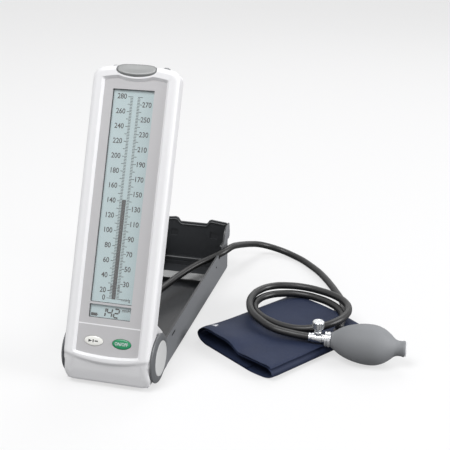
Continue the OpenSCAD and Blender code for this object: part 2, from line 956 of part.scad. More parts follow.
module release_button() {
    at = [0, release_v];
    color("#acaeae") leaning() {
        front_view(release_back, 26.4)
            polygon(oval(release_half_l, release_half_h, at));
        front_view(26.4, 27.2)
            polygon(oval(release_half_l - 0.6, release_half_h - 0.6, at));
        front_view(27.2, 27.6)
            polygon(oval(release_half_l - 1.6, release_half_h - 1.6, at));
    }
}

// Bar behind the crown with two hooks that reach out through it
module latch_slider() {
    color("#8f9192") leaning() {
        front_view(hook_off[0], hook_off[1])
            soft_rect([-33, 274], [33, 280.5], 1);
        for (x = [-hook_x, hook_x])
            front_view(hook_off[0], hook_off[1])
                polygon([[x - hook_w / 2, 280], [x + hook_w / 2, 280],
                    [x + hook_w / 2, hook_top - 1], [x + hook_w / 2 - 1, hook_top],
                    [x - hook_w / 2 + 1, hook_top], [x - hook_w / 2, hook_top - 1]]);
    }
}

module latch_springs() {
    color(steel) leaning()
        for (x = [-16, 16])
            translate([x, -12, 262])
                difference() {
                    cylinder(r = 2.6, h = 11.9);
                    translate([0, 0, -1])
                        cylinder(r = 1.9, h = 14);
                }
}

// Cuff

module on_cuff() {
    translate([cuff_at[0], cuff_at[1], 0])
        rotate([0, 0, cuff_turn])
            children();
}

// Thickens a section of the cuff, as seen through its mouth, along the arm
module cuff_section(length) {
    rotate([90, 0, 0])
        linear_extrude(length, center = true)
            children();
}

cuff_half = cuff_w / 2;
cover_outline = concat(
    arc([cuff_half - 6.5, 6.3], 6.3, -90, 0, 6),
    arc([cuff_half - 7, cover_h - 6.8], 6.8, 10, 90, 6),
    [[-40, cover_h - 0.4], [-50, cover_h - 1.4]],
    arc([-cuff_half + 5.8, 5.8], 5.8, 100, 270, 8)
);
slot_outline = [
    [-50, slot_z[0]], [53, slot_z[0]], [55, slot_z[0] + 2], [53, slot_z[1] - 0.4], [44, slot_z[1]],
    [-38, slot_z[1]], [-47, slot_z[1] - 1.6], [-52, 6.2]
];
bladder_path = [
    [51, 11.7], [-39, 11.5], [-49, 10], [-54.6, 8.2], [-57.4, 5.9], [-54.6, 3.2], [-49, 2.2], [51, 2.2]
];

module cuff_cover() {
    color(navy) on_cuff() difference() {
        cuff_section(cuff_l)
            polygon(cover_outline);
        cuff_section(cuff_l + 2)
            polygon(slot_outline);
        cuff_section(cuff_l - 22.4)
            polygon(strip(bladder_path, 1.9));
        translate([0, cuff_l / 2 - 12, 0])
            cuff_port_bore(13);
        top_port_hole();
    }
}

module cuff_port_bore(length) {
    translate([side_port_s, 0, 11.6])
        rotate([-90, 0, 0])
            cylinder(r = 1.8, h = length);
}

module top_port_hole() {
    rotate([0, 0, -cuff_turn])
        translate([port_at[0] - cuff_at[0], port_at[1] - cuff_at[1], 11])
            cylinder(r = 2.7, h = 8);
}

// Outer end of the cloth, closed over the top
module cuff_flap() {
    z = cover_h + 0.1 + 0.9;
    color("#454a63") on_cuff() difference() {
        cuff_section(cuff_l)
            polygon(strip([[-50, z - 1.3], [-40, z - 0.1], [0, z + 0.1], [55, z + 0.05]], 1.8));
        translate([0, 0, cover_h - 1])
            box([4, -50, 0], [50, 50, 2]);
        top_port_hole();
    }
}

module cuff_hook_tape() {
    color("#20222c") on_cuff() difference() {
        box([4.2, -49.8, cover_h + 0.05], [49.8, 49.8, cover_h + 0.9]);
        top_port_hole();
    }
}

module cuff_bladder() {
    color("#8c6a52") on_cuff()
        cuff_section(cuff_l - 23)
            polygon(strip(bladder_path, 1.6));
}

// Outlet on the far edge of the cuff, up to the end of its hose
module cuff_side_port() {
    color(rubber) on_cuff()
        translate([side_port_s, 0, 0])
            rotate([-90, 0, 0]) {
                translate([0, -11.6, cuff_l / 2 - 11])
                    cylinder(r = 1.7, h = 11.2);
                translate([0, -8, cuff_l / 2 + 0.2])
                    cylinder(r = 4.6, h = 6.1);
            }
}

// Elbow outlet lying on top of the cuff
module cuff_top_port() {
    z = bulb_hose[len(bulb_hose) - 1][2];
    color(rubber) {
        translate([port_at[0], port_at[1], cuff_h + 0.15])
            cylinder(r = 6.8, h = 1);
        translate([port_at[0], port_at[1], 12.7])
            cylinder(r = 2.6, h = 4);
        translate([port_at[0], port_at[1], cuff_h + 1])
            cylinder(r = 3.6, h = z - cuff_h - 1);
        translate([port_at[0], port_at[1] + 7, z])
            rotate([90, 0, 0])
                cylinder(r = 4.4, h = 10);
    }
}

// Hoses

module hose_to_case() {
    away = [sin(-cuff_turn), cos(cuff_turn), 0];
    color(rubber)
        swept_tube(case_hose, hose_d / 2, hose_sides, [0, 1, 0], -away);
}

module hose_to_bulb() {
    color(rubber)
        swept_tube(bulb_hose, hose_d / 2, hose_sides, [-1, 0, 0], [0, -1, 0]);
}

// Bulb and valve

module along_bulb() {
    translate(bulb_at)
        rotate([0, 90, 0])
            children();
}

// Turned profile of the bulb from its mouth to its neck: distance along, radius
bulb_profile = [
    [0, 7.6], [0.6, 8.6], [3, 10], [7.5, 13.2], [15, 17], [22, 19.4], [30, 21.1], [38, 21.9],
    [41.5, bulb_d / 2], [46, 21.7], [52, 20.2], [57.5, 17.8], [62.5, 14.3], [66, 11], [68.6, 8.9],
    [71, 8.2], [79, 8]
];

module bulb() {
    n = len(bulb_profile);
    color("#818386") along_bulb() rotate_extrude()
        polygon(concat(
            [for (p = bulb_profile) [p[1], p[0]]],
            [[6.6, 79], [6.6, 70]],
            [for (i = [n - 4:-1:2]) [bulb_profile[i][1] - bulb_wall, bulb_profile[i][0]]],
            [[5.6, 0]]
        ));
}

module bulb_end_valve() {
    color("#b9bbbd") along_bulb() difference() {
        union() {
            translate([0, 0, 72])
                cylinder(r = 6.5, h = 7);
            translate([0, 0, 79])
                cylinder(r = 7, h = 1);
        }
        translate([0, 0, 71])
            cylinder(r = 1.5, h = 12);
    }
}

module valve_collar() {
    color("#d4d6d8") along_bulb() difference() {
        translate([0, 0, collar_x - bulb_at[0]])
            cylinder(r = 8.4, h = bulb_at[0] - collar_x - 0.1);
        translate([0, 0, -20])
            cylinder(r = 4.42, h = 30);
    }
}

module valve_body() {
    y = bulb_at[1];
    z = bulb_at[2];
    color("#c9ccd0") difference() {
        union() {
            translate([tail_x, y, z])
                rotate([0, 90, 0])
                    cylinder(r = 4.7, h = collar_x - 3 - tail_x);
            translate([collar_x - 3.5, y, z])
                rotate([0, 90, 0])
                    cylinder(r = 4.4, h = bulb_at[0] + 6 - collar_x);
            translate([knob_x, y, z])
                cylinder(r = 3.6, h = 9.4);
        }
        translate([tail_x - 1, y, z])
            rotate([0, 90, 0])
                cylinder(r = 1.7, h = 40);
        translate([knob_x, y, z + 2.2])
            cylinder(r = stem_r + 0.06, h = 12);
    }
}

module release_stem() {
    color(steel)
        translate([knob_x, bulb_at[1], bulb_at[2] + 2.6])
            cylinder(r = stem_r, h = 14.6);
}

module release_knob() {
    grips = 24;
    bottom = bulb_at[2] + 11.6;
    color("#c9ccd0")
        translate([knob_x, bulb_at[1], bottom])
            difference() {
                union() {
                    cylinder(r = knob_d / 2 - 0.7, h = knob_h);
                    translate([0, 0, 1.2])
                        linear_extrude(knob_h - 2.4)
                            polygon([for (i = [0:2 * grips - 1])
                                (knob_d / 2 - (i % 2) * 0.5) * [cos(i * 180 / grips), sin(i * 180 / grips)]]);
                }
                translate([0, 0, -1])
                    cylinder(r = stem_r + 0.06, h = 7);
            }
}

case_tray();
front_foot();
rear_feet();
case_strap();
strap_rivets();
left_hinge_ring();
right_hinge_ring();
left_hinge_cap();
right_hinge_cap();
left_hinge_pin();
right_hinge_pin();
hinge_washers();
hinge_nuts();
air_union();
air_manifold();
manifold_screws();
hose_nipple();
union_tube();
front_cover();
rear_cover();
left_hinge_bushing();
right_hinge_bushing();
cover_screws();
display_panel();
screen_lens();
screen_glass();
screen_holder();
circuit_board();
pressure_sensor();
sensor_tube();
key_board();
key_pad();
battery_tray();
batteries();
battery_contacts();
battery_cover();
mark_key();
power_key();
release_button();
latch_slider();
latch_springs();
cuff_cover();
cuff_flap();
cuff_bladder();
cuff_hook_tape();
cuff_side_port();
cuff_top_port();
hose_to_case();
hose_to_bulb();
valve_body();
valve_collar();
release_stem();
release_knob();
bulb();
bulb_end_valve();
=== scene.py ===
"""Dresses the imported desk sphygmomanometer: covers, screen, case, cuff, hoses, bulb and valve.

Blender works in metres; shapes here are given in millimetres and turned to metres as they are
placed. Pieces of the display are shaped upright about the hinge axis, with x to the right, v up
the display and w out of its face, and are then leaned back with it.
"""
import math
from contextlib import contextmanager

import bpy
from mathutils import Matrix, Vector, kdtree, noise


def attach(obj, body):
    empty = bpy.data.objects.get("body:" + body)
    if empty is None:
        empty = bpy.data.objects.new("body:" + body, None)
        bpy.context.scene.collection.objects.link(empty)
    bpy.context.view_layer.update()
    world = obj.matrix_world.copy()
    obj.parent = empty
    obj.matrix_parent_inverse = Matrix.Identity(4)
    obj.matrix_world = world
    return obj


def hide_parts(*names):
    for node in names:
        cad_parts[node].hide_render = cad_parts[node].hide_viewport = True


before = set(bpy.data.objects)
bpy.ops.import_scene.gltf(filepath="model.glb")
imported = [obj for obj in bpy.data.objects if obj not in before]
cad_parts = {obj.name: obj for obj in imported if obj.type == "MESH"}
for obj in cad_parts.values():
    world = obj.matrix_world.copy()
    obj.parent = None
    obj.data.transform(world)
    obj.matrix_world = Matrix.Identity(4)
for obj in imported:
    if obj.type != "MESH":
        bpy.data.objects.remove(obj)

bl_info = {
    "name": "Desk sphygmomanometer",
    "version": (1, 0, 0),
    "blender": (4, 5, 0),
    "location": "3D View > Sidebar > Sphygmomanometer",
    "description": "Models and finishes the pieces of a desk sphygmomanometer around its solids",
    "category": "Object",
}

MM = 0.001
HINGE_Z = 27  # height of the hinge axis over the table
EAR_X = 46.6  # distance of each ear's outer face from the middle
BULB_X, BULB_Y, BULB_Z = 213.4, 95, 22  # the bulb's neck, from which the bulb and the valve are drawn
VALVE_X, KNOB_Z = 198.4, 33.6  # the release valve's upright axis and the foot of its knob


def at(x, y, z):
    """A place in millimetres, as a matrix in metres."""
    return Matrix.Translation((x / 1000, y / 1000, z / 1000))


def turn(degrees, axis):
    """A rotation about an axis through the origin."""
    return Matrix.Rotation(math.radians(degrees), 4, axis)


DISPLAY = at(0, 0, HINGE_Z) @ turn(-22.8, "X")
CUFF = at(154, 125.5, 0) @ turn(-35.8, "Z")
BULB = at(BULB_X, BULB_Y, BULB_Z) @ turn(90, "Y")
IN_PLACE = Matrix.Identity(4)


def linear(hex_colour):
    """An sRGB hex value as linear red, green, blue and alpha."""
    parts = [int(hex_colour[i:i + 2], 16) / 255 for i in (1, 3, 5)]
    return [c / 12.92 if c <= 0.04045 else ((c + 0.055) / 1.055) ** 2.4 for c in parts] + [1.0]


# Sizes and colours that a user would change


def width_setting(name, description, default, low, high):
    """A width that a user would change, in metres."""
    return bpy.props.FloatProperty(name=name, description=description, default=default, min=low, max=high,
                                   subtype="DISTANCE", unit="LENGTH")


def colour_setting(name, description, shade):
    """A colour that a user would change."""
    return bpy.props.FloatVectorProperty(name=name, description=description, subtype="COLOR", size=4,
                                         default=linear(shade), min=0, max=1)


class SphygSizes(bpy.types.PropertyGroup):
    hose_diameter: width_setting("Hose diameter", "Outer diameter of the hoses", 0.0085, 0.006, 0.01)
    shell_edge: width_setting("Cover edge", "Rounding of the covers' cut edges", 0.0005, 0.0001, 0.0008)
    case_edge: width_setting("Case edge", "Rounding of the case's edges", 0.0004, 0.0001, 0.0008)
    reading: bpy.props.IntProperty(
        name="Reading", description="Pressure shown by the bar and the number, in mmHg",
        default=142, min=100, max=199)


class SphygColours(bpy.types.PropertyGroup):
    shell: colour_setting("Covers", "White of the display covers", "#f0f0f2")
    panel: colour_setting("Panel", "Grey of the front panel", "#c3c2c4")
    case: colour_setting("Case", "Dark grey of the case", "#303235")
    cuff: colour_setting("Cuff", "Navy of the cuff's cloth", "#242d45")
    bulb: colour_setting("Bulb", "Grey of the bulb", "#818386")
    hose: colour_setting("Hoses", "Charcoal of the hoses", "#171718")
    power_key: colour_setting("Power key", "Green of the power key", "#1f8f5f")


# Modelling

MERGE = 2e-6  # points nearer than this are one, in metres


def only(obj):
    """Leaves just this object selected and active."""
    bpy.ops.object.select_all(action="DESELECT")
    obj.select_set(True)
    bpy.context.view_layer.objects.active = obj


def primitive(name, add, **settings):
    """Adds a primitive with nothing else selected, under the piece's own name."""
    bpy.ops.object.select_all(action="DESELECT")
    add(**settings)
    obj = bpy.context.active_object
    obj.name = name
    obj.data.name = name
    return obj


@contextmanager
def editing(obj, kind="FACE"):
    """Edit mode on one piece, with nothing selected at the start."""
    only(obj)
    bpy.ops.object.mode_set(mode="EDIT")
    bpy.ops.mesh.select_mode(type=kind)
    bpy.ops.mesh.select_all(action="DESELECT")
    yield
    bpy.ops.object.mode_set(mode="OBJECT")


def apply_modifier(obj, kind, **settings):
    """Adds a modifier with its settings and applies it."""
    only(obj)
    modifier = obj.modifiers.new(kind.title(), kind)
    for key, value in settings.items():
        setattr(modifier, key, value)
    bpy.ops.object.modifier_apply(modifier=modifier.name)


def cut_away(obj, cutter):
    """Takes the cutter's shape out of a piece and removes the cutter."""
    apply_modifier(obj, "BOOLEAN", object=cutter, operation="DIFFERENCE", solver="EXACT")
    bpy.data.objects.remove(cutter)


def merge(obj):
    """Closes seams and poles, and turns every face outwards."""
    with editing(obj, "VERT"):
        bpy.ops.mesh.select_all(action="SELECT")
        bpy.ops.mesh.remove_doubles(threshold=MERGE)
        bpy.ops.mesh.normals_make_consistent(inside=False)


def middle(ring):
    """The middle of a ring of points."""
    return sum((Vector(p) for p in ring), Vector()) / len(ring)


def loft(name, rings, first_lid=False, last_lid=False, loop=True):
    """Lays a grid over rings of points in millimetres; a lid closes an end to its middle."""
    rings = [list(r) for r in rings]
    if first_lid:
        rings.insert(0, [middle(rings[0])] * len(rings[0]))
    if last_lid:
        rings.append([middle(rings[-1])] * len(rings[-1]))
    across = len(rings[0]) + (1 if loop else 0)
    obj = primitive(name, bpy.ops.mesh.primitive_grid_add,
                    x_subdivisions=across - 1, y_subdivisions=len(rings) - 1)
    for j, ring in enumerate(rings):
        for i in range(across):
            obj.data.vertices[j * across + i].co = Vector(ring[i % len(ring)]) * MM
    merge(obj)
    return obj


def turned(name, section, steps=96):
    """Spins a closed half section, as radius and distance along Z in millimetres."""
    obj = primitive(name, bpy.ops.mesh.primitive_circle_add, vertices=len(section), fill_type="NOTHING")
    for vertex, (radius, along) in zip(obj.data.vertices, section):
        vertex.co = Vector((radius, 0, along)) * MM
    with editing(obj, "EDGE"):
        bpy.ops.mesh.select_all(action="SELECT")
        bpy.ops.mesh.spin(steps=steps, angle=2 * math.pi, center=(0, 0, 0), axis=(0, 0, 1))
    merge(obj)
    return obj


def cast(name, node):
    """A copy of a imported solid, its loose triangles merged and its flat faces made whole."""
    obj = bpy.data.objects.new(name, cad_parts[node].data.copy())
    obj.data.name = name
    obj.data.materials.clear()
    bpy.context.scene.collection.objects.link(obj)
    with editing(obj, "VERT"):
        bpy.ops.mesh.select_all(action="SELECT")
        bpy.ops.mesh.remove_doubles(threshold=MERGE)
        bpy.ops.mesh.dissolve_limited(angle_limit=math.radians(0.4))
    return obj


def soften(obj, width, segments, angle):
    """Rounds the sharp edges of a piece."""
    apply_modifier(obj, "BEVEL", width=width, segments=segments, limit_method="ANGLE",
                   angle_limit=math.radians(angle), use_clamp_overlap=True, harden_normals=False)


def finish(obj, key, body, nodes=(), place=IN_PLACE, angle=35, weighted=True):
    """Smooths a piece, sets it in place with its finish and hangs it on its body.

    Its shading goes by face area unless it is cloth, print or a plain round shape.
    """
    only(obj)
    bpy.ops.object.shade_smooth_by_angle(angle=math.radians(angle))
    if weighted:
        apply_modifier(obj, "WEIGHTED_NORMAL", keep_sharp=True, weight=90)
    obj.data.transform(place)
    obj.data.materials.clear()
    obj.data.materials.append(FINISHES[key])
    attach(obj, body)
    if nodes:
        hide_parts(*nodes)
    return obj


def oval(rx, ry, centre=(0, 0), steps=64):
    """Points of an oval, counter-clockwise."""
    angles = [2 * math.pi * i / steps for i in range(steps)]
    return [(centre[0] + rx * math.cos(a), centre[1] + ry * math.sin(a)) for a in angles]


def soft_box(low, high, radius, steps=4):
    """Points of a rectangle with rounded corners, counter-clockwise."""
    points = []
    for cx, cy, start in ((high[0] - radius, low[1] + radius, -90), (high[0] - radius, high[1] - radius, 0),
                          (low[0] + radius, high[1] - radius, 90), (low[0] + radius, low[1] + radius, 180)):
        for i in range(steps + 1):
            a = math.radians(start + 90 * i / steps)
            points.append((cx + radius * math.cos(a), cy + radius * math.sin(a)))
    return points


def release_outline(rx, ry, at_v, steps=96):
    """The release button from in front: an oval below, fuller above, where it follows the crown."""
    points = []
    for i in range(steps):
        a = 2 * math.pi * i / steps
        x, v = math.cos(a), math.sin(a)
        if v > 0:
            v = (1 - abs(x) ** 3.6) ** (1 / 3.6)
        points.append((x * rx, at_v + v * ry))
    return points


def facing(points, w):
    """Points of a front view at a distance in front of the hinge axis."""
    return [(x, -w, v) for x, v in points]


def slab(name, outline, low, high):
    """A flat piece with a front view's outline, between two distances from the hinge axis."""
    return loft(name, [facing(outline, low), facing(outline, high)], True, True)


# Finishes


def add_node(material, kind, links=None, **settings):
    """Adds a node to a material, with its properties, its sockets' values and its links."""
    tree = material.node_tree
    node = tree.nodes.new(kind)
    for key, value in settings.items():
        if hasattr(node, key):
            setattr(node, key, value)
        else:
            node.inputs[key.replace("_", " ")].default_value = value
    for key, source in (links or {}).items():
        tree.links.new(source, node.inputs[key])
    return node


def per_metre(size_mm):
    """A texture's scale for features of a size in millimetres, on Object coordinates."""
    return 1000 / size_mm


def new_finish(name, colour, roughness, metallic=0.0, ior=1.5, **sockets):
    """A named finish with its even values set on the shader's own sockets."""
    material = bpy.data.materials.new(name)
    material.use_nodes = True
    material.node_tree.nodes.clear()
    shader = add_node(material, "ShaderNodeBsdfPrincipled", Base_Color=colour, Roughness=roughness,
                      Metallic=metallic, IOR=ior)
    for key, value in sockets.items():
        shader.inputs[key.replace("_", " ")].default_value = value
    add_node(material, "ShaderNodeOutputMaterial", {"Surface": shader.outputs["BSDF"]})
    return material, shader


def grain(material, place, size_mm, detail, roughness):
    """Noise on Object coordinates with features of a size in millimetres."""
    return add_node(material, "ShaderNodeTexNoise", {"Vector": place.outputs["Object"]},
                    Scale=per_metre(size_mm), Detail=detail, Roughness=roughness).outputs["Fac"]


def shades(material, shader, factor, colour, low, high):
    """Lets the base colour go from a darker to a lighter share of itself."""
    mix = add_node(material, "ShaderNodeMix", {"Factor": factor}, data_type="RGBA")
    mix.inputs["A"].default_value = [c * low for c in colour[:3]] + [1]
    mix.inputs["B"].default_value = [min(c * high, 1) for c in colour[:3]] + [1]
    material.node_tree.links.new(mix.outputs["Result"], shader.inputs["Base Color"])


def mottle(material, shader, colour, size_mm, low, high, rough=None):
    """Varies a colour, and if asked its roughness, in soft patches."""
    patches = grain(material, add_node(material, "ShaderNodeTexCoord"), size_mm, 3.0, 0.55)
    shades(material, shader, patches, colour, low, high)
    if rough:
        spread = add_node(material, "ShaderNodeMapRange", {"Value": patches},
                          To_Min=rough[0], To_Max=rough[1])
        material.node_tree.links.new(spread.outputs["Result"], shader.inputs["Roughness"])


def roughen(material, shader, size_mm, height_mm):
    """Gives a finish the fine relief of its surface."""
    relief = grain(material, add_node(material, "ShaderNodeTexCoord"), size_mm, 2.0, 0.6)
    bump = add_node(material, "ShaderNodeBump", {"Height": relief}, Distance=height_mm * MM, Strength=1.0)
    material.node_tree.links.new(bump.outputs["Normal"], shader.inputs["Normal"])


def moulded(name, colour, roughness, grain_mm, relief_mm, ior=1.53):
    """An injection-moulded plastic: a faint orange peel, and flow marks that hardly show."""
    colour = linear(colour) if isinstance(colour, str) else list(colour)
    material, shader = new_finish(name, colour, roughness, ior=ior)
    mottle(material, shader, colour, 38, 0.975, 1.02, (roughness - 0.04, roughness + 0.05))
    roughen(material, shader, grain_mm, relief_mm)
    return material


FINISHES = {}


def make_finishes(colours):
    """Every finish of the object, each from what the real surface is."""
    f = FINISHES
    # White ABS, moulded in a polished tool: clean, a soft sheen along the edges
    f["shell"] = moulded("white_moulded_abs", colours.shell, 0.34, 1.1, 0.008)
    # Printed polycarbonate film, hard coated matt: an even grey without reflections
    f["panel"] = moulded("grey_polycarbonate_film", colours.panel, 0.5, 0.4, 0.004, ior=1.58)
    # High impact polystyrene from a spark-eroded tool: a dry dark grey with a fine sparkle
    f["case"] = moulded("dark_eroded_polystyrene", colours.case, 0.4, 0.5, 0.02, ior=1.59)
    # The case's outer faces get a lighter, smoother copy of its grey: painted light, for the light that
    # falls on the outside of the walls and not into the case
    f["case_outside"] = moulded("grey_polystyrene_painted_light", "#7c7e82", 0.42, 0.8, 0.012, ior=1.55)
    f["ring"] = moulded("grey_moulded_abs", "#66686b", 0.36, 0.6, 0.01)
    f["cap"] = moulded("light_grey_moulded_abs", "#d8d9d9", 0.36, 0.8, 0.008)
    f["button"] = moulded("grey_gloss_abs", "#8e9090", 0.3, 0.8, 0.006)
    f["latch"] = moulded("grey_moulded_acetal", "#8f9192", 0.45, 0.6, 0.01, ior=1.48)
    f["white_key"] = moulded("white_gloss_abs", "#f7f7f2", 0.22, 1.2, 0.004)
    f["green_key"] = moulded("green_gloss_abs", colours.power_key, 0.24, 1.2, 0.004)
    f["inner"] = moulded("plain_moulded_polystyrene", "#e4e4e0", 0.5, 0.5, 0.012, ior=1.59)
    f["union"] = moulded("natural_moulded_acetal", "#d8d8d4", 0.45, 0.5, 0.01, ior=1.48)
    f["manifold"] = moulded("black_moulded_nylon", "#3c3d3f", 0.48, 0.4, 0.02, ior=1.53)
    f["sensor"] = moulded("cast_sensor_ceramic", "#d8d6d0", 0.6, 0.3, 0.01, ior=1.6)
    f["valve_plug"] = moulded("pale_moulded_nylon", "#dcdde0", 0.4, 0.5, 0.01)
    make_rubbers(f, colours)
    make_metals(f)
    make_cloths(f, colours)
    make_screen_finishes(f)


def make_rubbers(f, colours):
    """Extruded, dipped and moulded rubbers."""
    # Extruded neoprene hose: charcoal, satin, with a broad soft highlight and faint bloom
    colour = list(colours.hose)
    f["hose"], shader = new_finish("extruded_neoprene", colour, 0.36, ior=1.5)
    mottle(f["hose"], shader, colour, 14, 0.86, 1.12, (0.32, 0.42))
    roughen(f["hose"], shader, 0.5, 0.015)
    # Dipped latex-free bulb: dead matt grey, slightly powdery
    colour = list(colours.bulb)
    f["bulb"], shader = new_finish("dipped_pvc", colour, 0.62, ior=1.52)
    mottle(f["bulb"], shader, colour, 16, 0.96, 1.04, (0.58, 0.68))
    roughen(f["bulb"], shader, 0.45, 0.012)
    for key, name, shade, roughness in (
            ("port", "moulded_neoprene", "#2b2b2d", 0.45), ("foot", "moulded_nitrile", "#2c2c2d", 0.7),
            ("key_rubber", "moulded_silicone", "#9a9c9e", 0.55),
            ("tubing", "clear_silicone_tubing", "#c9c6bd", 0.35)):
        colour = linear(shade)
        f[key], shader = new_finish(name, colour, roughness, ior=1.5)
        mottle(f[key], shader, colour, 9, 0.9, 1.08)
        roughen(f[key], shader, 0.5, 0.015)


def make_metals(f):
    """Plated and turned metals, and with them the dry cells and the circuit board."""
    for key, name, shade, roughness, patch_mm in (
            ("chrome", "chrome_plate", "#c9cbce", 0.2, 3.0),
            ("knurl", "satin_chrome_plate", "#d2d4d6", 0.26, 1.5),
            ("steel", "zinc_plated_steel", "#b6b9bd", 0.34, 0.8),
            ("bronze", "sintered_bronze", "#b08a4e", 0.42, 0.5)):
        colour = linear(shade)
        f[key], shader = new_finish(name, colour, roughness, metallic=1.0)
        mottle(f[key], shader, colour, patch_mm, 0.94, 1.03, (roughness * 0.85, roughness * 1.3))
    # Shrink sleeve over a dry cell
    f["battery"] = moulded("printed_shrink_sleeve", "#3d5a73", 0.3, 1.5, 0.01)
    # Solder resist over copper tracks, which show as a faint lattice
    colour = linear("#2f6b46")
    f["circuit"], shader = new_finish("solder_resist", colour, 0.35, ior=1.55)
    place = add_node(f["circuit"], "ShaderNodeTexCoord")
    tracks = add_node(f["circuit"], "ShaderNodeTexBrick", {"Vector": place.outputs["Object"]},
                      Scale=per_metre(4))
    tracks.inputs["Color1"].default_value = colour
    tracks.inputs["Color2"].default_value = [c * 0.85 for c in colour[:3]] + [1]
    tracks.inputs["Mortar"].default_value = linear("#4b8a5e")
    f["circuit"].node_tree.links.new(tracks.outputs["Color"], shader.inputs["Base Color"])


def woven(name, colour, thread_mm, depth_mm, roughness, sheen):
    """A plain weave, over and under in two directions, on Object coordinates."""
    material, shader = new_finish(name, colour, roughness, ior=1.5, Sheen_Weight=sheen, Sheen_Roughness=0.5,
                                  Specular_IOR_Level=0.2)
    place = add_node(material, "ShaderNodeTexCoord")
    wander = grain(material, place, 24, 4.0, 0.6)
    threads = []
    for direction in ("X", "Y"):
        wave = add_node(material, "ShaderNodeTexWave", {"Vector": place.outputs["Object"]},
                        wave_type="BANDS", bands_direction=direction, wave_profile="SIN",
                        Scale=per_metre(thread_mm) / (2 * math.pi), Distortion=0.3)
        threads.append(wave.outputs["Fac"])
    over = add_node(material, "ShaderNodeMath", dict(enumerate(threads)), operation="MULTIPLY")
    both = add_node(material, "ShaderNodeMath", {0: over.outputs["Value"], 1: wander}, operation="ADD")
    tone = add_node(material, "ShaderNodeMapRange", {"Value": both.outputs["Value"]},
                    From_Min=0.3, From_Max=1.4, To_Min=0.0, To_Max=1.0)
    shades(material, shader, tone.outputs["Result"], colour, 0.8, 1.12)
    bump = add_node(material, "ShaderNodeBump", {"Height": over.outputs["Value"]},
                    Distance=depth_mm * MM, Strength=0.7)
    material.node_tree.links.new(bump.outputs["Normal"], shader.inputs["Normal"])
    return material


def make_cloths(f, colours):
    """The cuff's cloths and the strap."""
    # Coated nylon taffeta; its real 0.25 mm threads are drawn at 0.7 mm so that they show
    f["cuff"] = woven("coated_nylon_taffeta", list(colours.cuff), 0.7, 0.06, 0.6, 0.03)
    # The lining's dark navy is partly painted shade: it darkens the faces inside the roll, where shade
    # falls
    f["lining"] = woven("nylon_lining", linear("#1d2033"), 0.7, 0.06, 0.7, 0.05)
    # Hook tape: stiff black hooks, 1.6 mm apart
    f["hook"] = woven("nylon_hook_tape", linear("#1c1e28"), 1.6, 0.4, 0.55, 0.1)
    # Elastic webbing with lengthwise ribs
    f["strap"] = woven("elastic_webbing", linear("#b0b1b1"), 1.3, 0.15, 0.75, 0.2)
    f["white_print"] = moulded("white_screen_print", "#e2e4ea", 0.55, 0.5, 0.01)


def make_screen_finishes(f):
    """The liquid crystal cell, its window and what is printed on and under it, with painted shade at the
    window's edges.
    """
    # Reflective liquid crystal cell: an even pale grey-green, a little deeper at its ends
    colour = linear("#bccfd2")
    f["cell"], shader = new_finish("reflective_liquid_crystal", colour, 0.38, ior=1.52)
    mottle(f["cell"], shader, colour, 90, 0.95, 1.03)
    # Clear acrylic: nearly all of what is behind it shows
    f["lens"], shader = new_finish("clear_acrylic", linear("#ffffff"), 0.05, ior=1.49, Alpha=0.07)
    roughen(f["lens"], shader, 30, 0.004)
    f["segment"] = moulded("dark_liquid_crystal", "#06080a", 0.55, 0.25, 0.001)
    # A dark grey sheet behind the windows; its rim that shows at their left, upper and lower edges is
    # painted shade of the window recess
    f["shade_mask"] = moulded("dark_sheet_painted_shade", "#3c4145", 0.5, 0.5, 0.002)
    f["key_print"] = moulded("dark_pad_print", "#3a3b3e", 0.45, 0.4, 0.002)


# Curves that the covers share, in millimetres on the display

CROWN_TOP, CROWN_R = 295.5, 184  # the crown's highest point and its radius
HALF_W, CORNER_R = 46.7, 12  # half the cover's width, and the radius of its upper corners
CHIN_HALF, CHIN_FOOT, CHIN_R = 45.9, -30.4, 9  # half the chin's width, its lower edge, its corners
SEAM, FACE, PANEL = 13, 28, 25.4  # distances of the seam, the face and the panel from the hinge axis
RELEASE_V, RELEASE_W, RELEASE_H = 289.6, 21.3, 6.7  # the release button's middle and half sizes
RELEASE_GAP = 0.35  # clearance round it
KEY_X, KEY_V, KEY_W, KEY_H = 15, 12, 10, 5  # the keys' middles and half sizes


def crown(x):
    """Upper edge of the display."""
    return CROWN_TOP - x * x / (2 * CROWN_R)


def smile(x):
    """Lower edge of the grey panel."""
    return -2 + x * x / 454


def ridge_low(x):
    """Foot of the ridge under the panel."""
    return -11 + x * x / 286


def panel_top(x):
    """Upper edge of the grey panel: it follows the crown and dips under the release button."""
    line = 282 - x * x / 368
    if abs(x) < 26:
        line = min(line, RELEASE_V - 11.5 * math.sqrt(1 - (x / 26.3) ** 2))
    return line


def chin_depth(v):
    """Depth of the chin below the ridge, which slopes back to the lower edge."""
    line = ((-30.4, 14), (-29.4, 16.4), (-17.5, 22.4), (-7, 25.7), (4, 27.2), (40, 27.2))
    for (v0, w0), (v1, w1) in zip(line, line[1:]):
        if v <= v1:
            return w0 + (w1 - w0) * max(v - v0, 0) / (v1 - v0)
    return line[-1][1]


def between(a, b, t):
    """A share of the way from one value to another."""
    return a + (b - a) * t


def eased(t):
    """A share that sets off and arrives softly."""
    t = min(max(t, 0), 1)
    return t * t * (3 - 2 * t)


def face_depth(x, v):
    """Depth of the front face: level, then down over the ridge onto the chin."""
    return between(chin_depth(v), FACE, eased((v - ridge_low(x) + 0.8) / 4.2))


def mirrored(half):
    """A closed ring from its right half, bottom to top, that starts and ends on the middle line."""
    return half + [(-x, w, v) for x, w, v in half[-2:0:-1]]


def rise_along(start, end):
    """Shares of a line from the cover's edge to the panel at which it crosses the ridge."""
    shares, last = [], 0.0
    for n, height in enumerate((-0.8, 0.5, 1.9, 3.4)):
        t = 1.0
        for step in range(1, 101):
            x, v = between(start[0], end[0], step / 100), between(start[1], end[1], step / 100)
            if v - ridge_low(x) >= height:
                t = step / 100
                break
        last = min(max(t, last + 0.06), 1 - 0.1 * (4 - n))
        shares.append(last)
    return shares


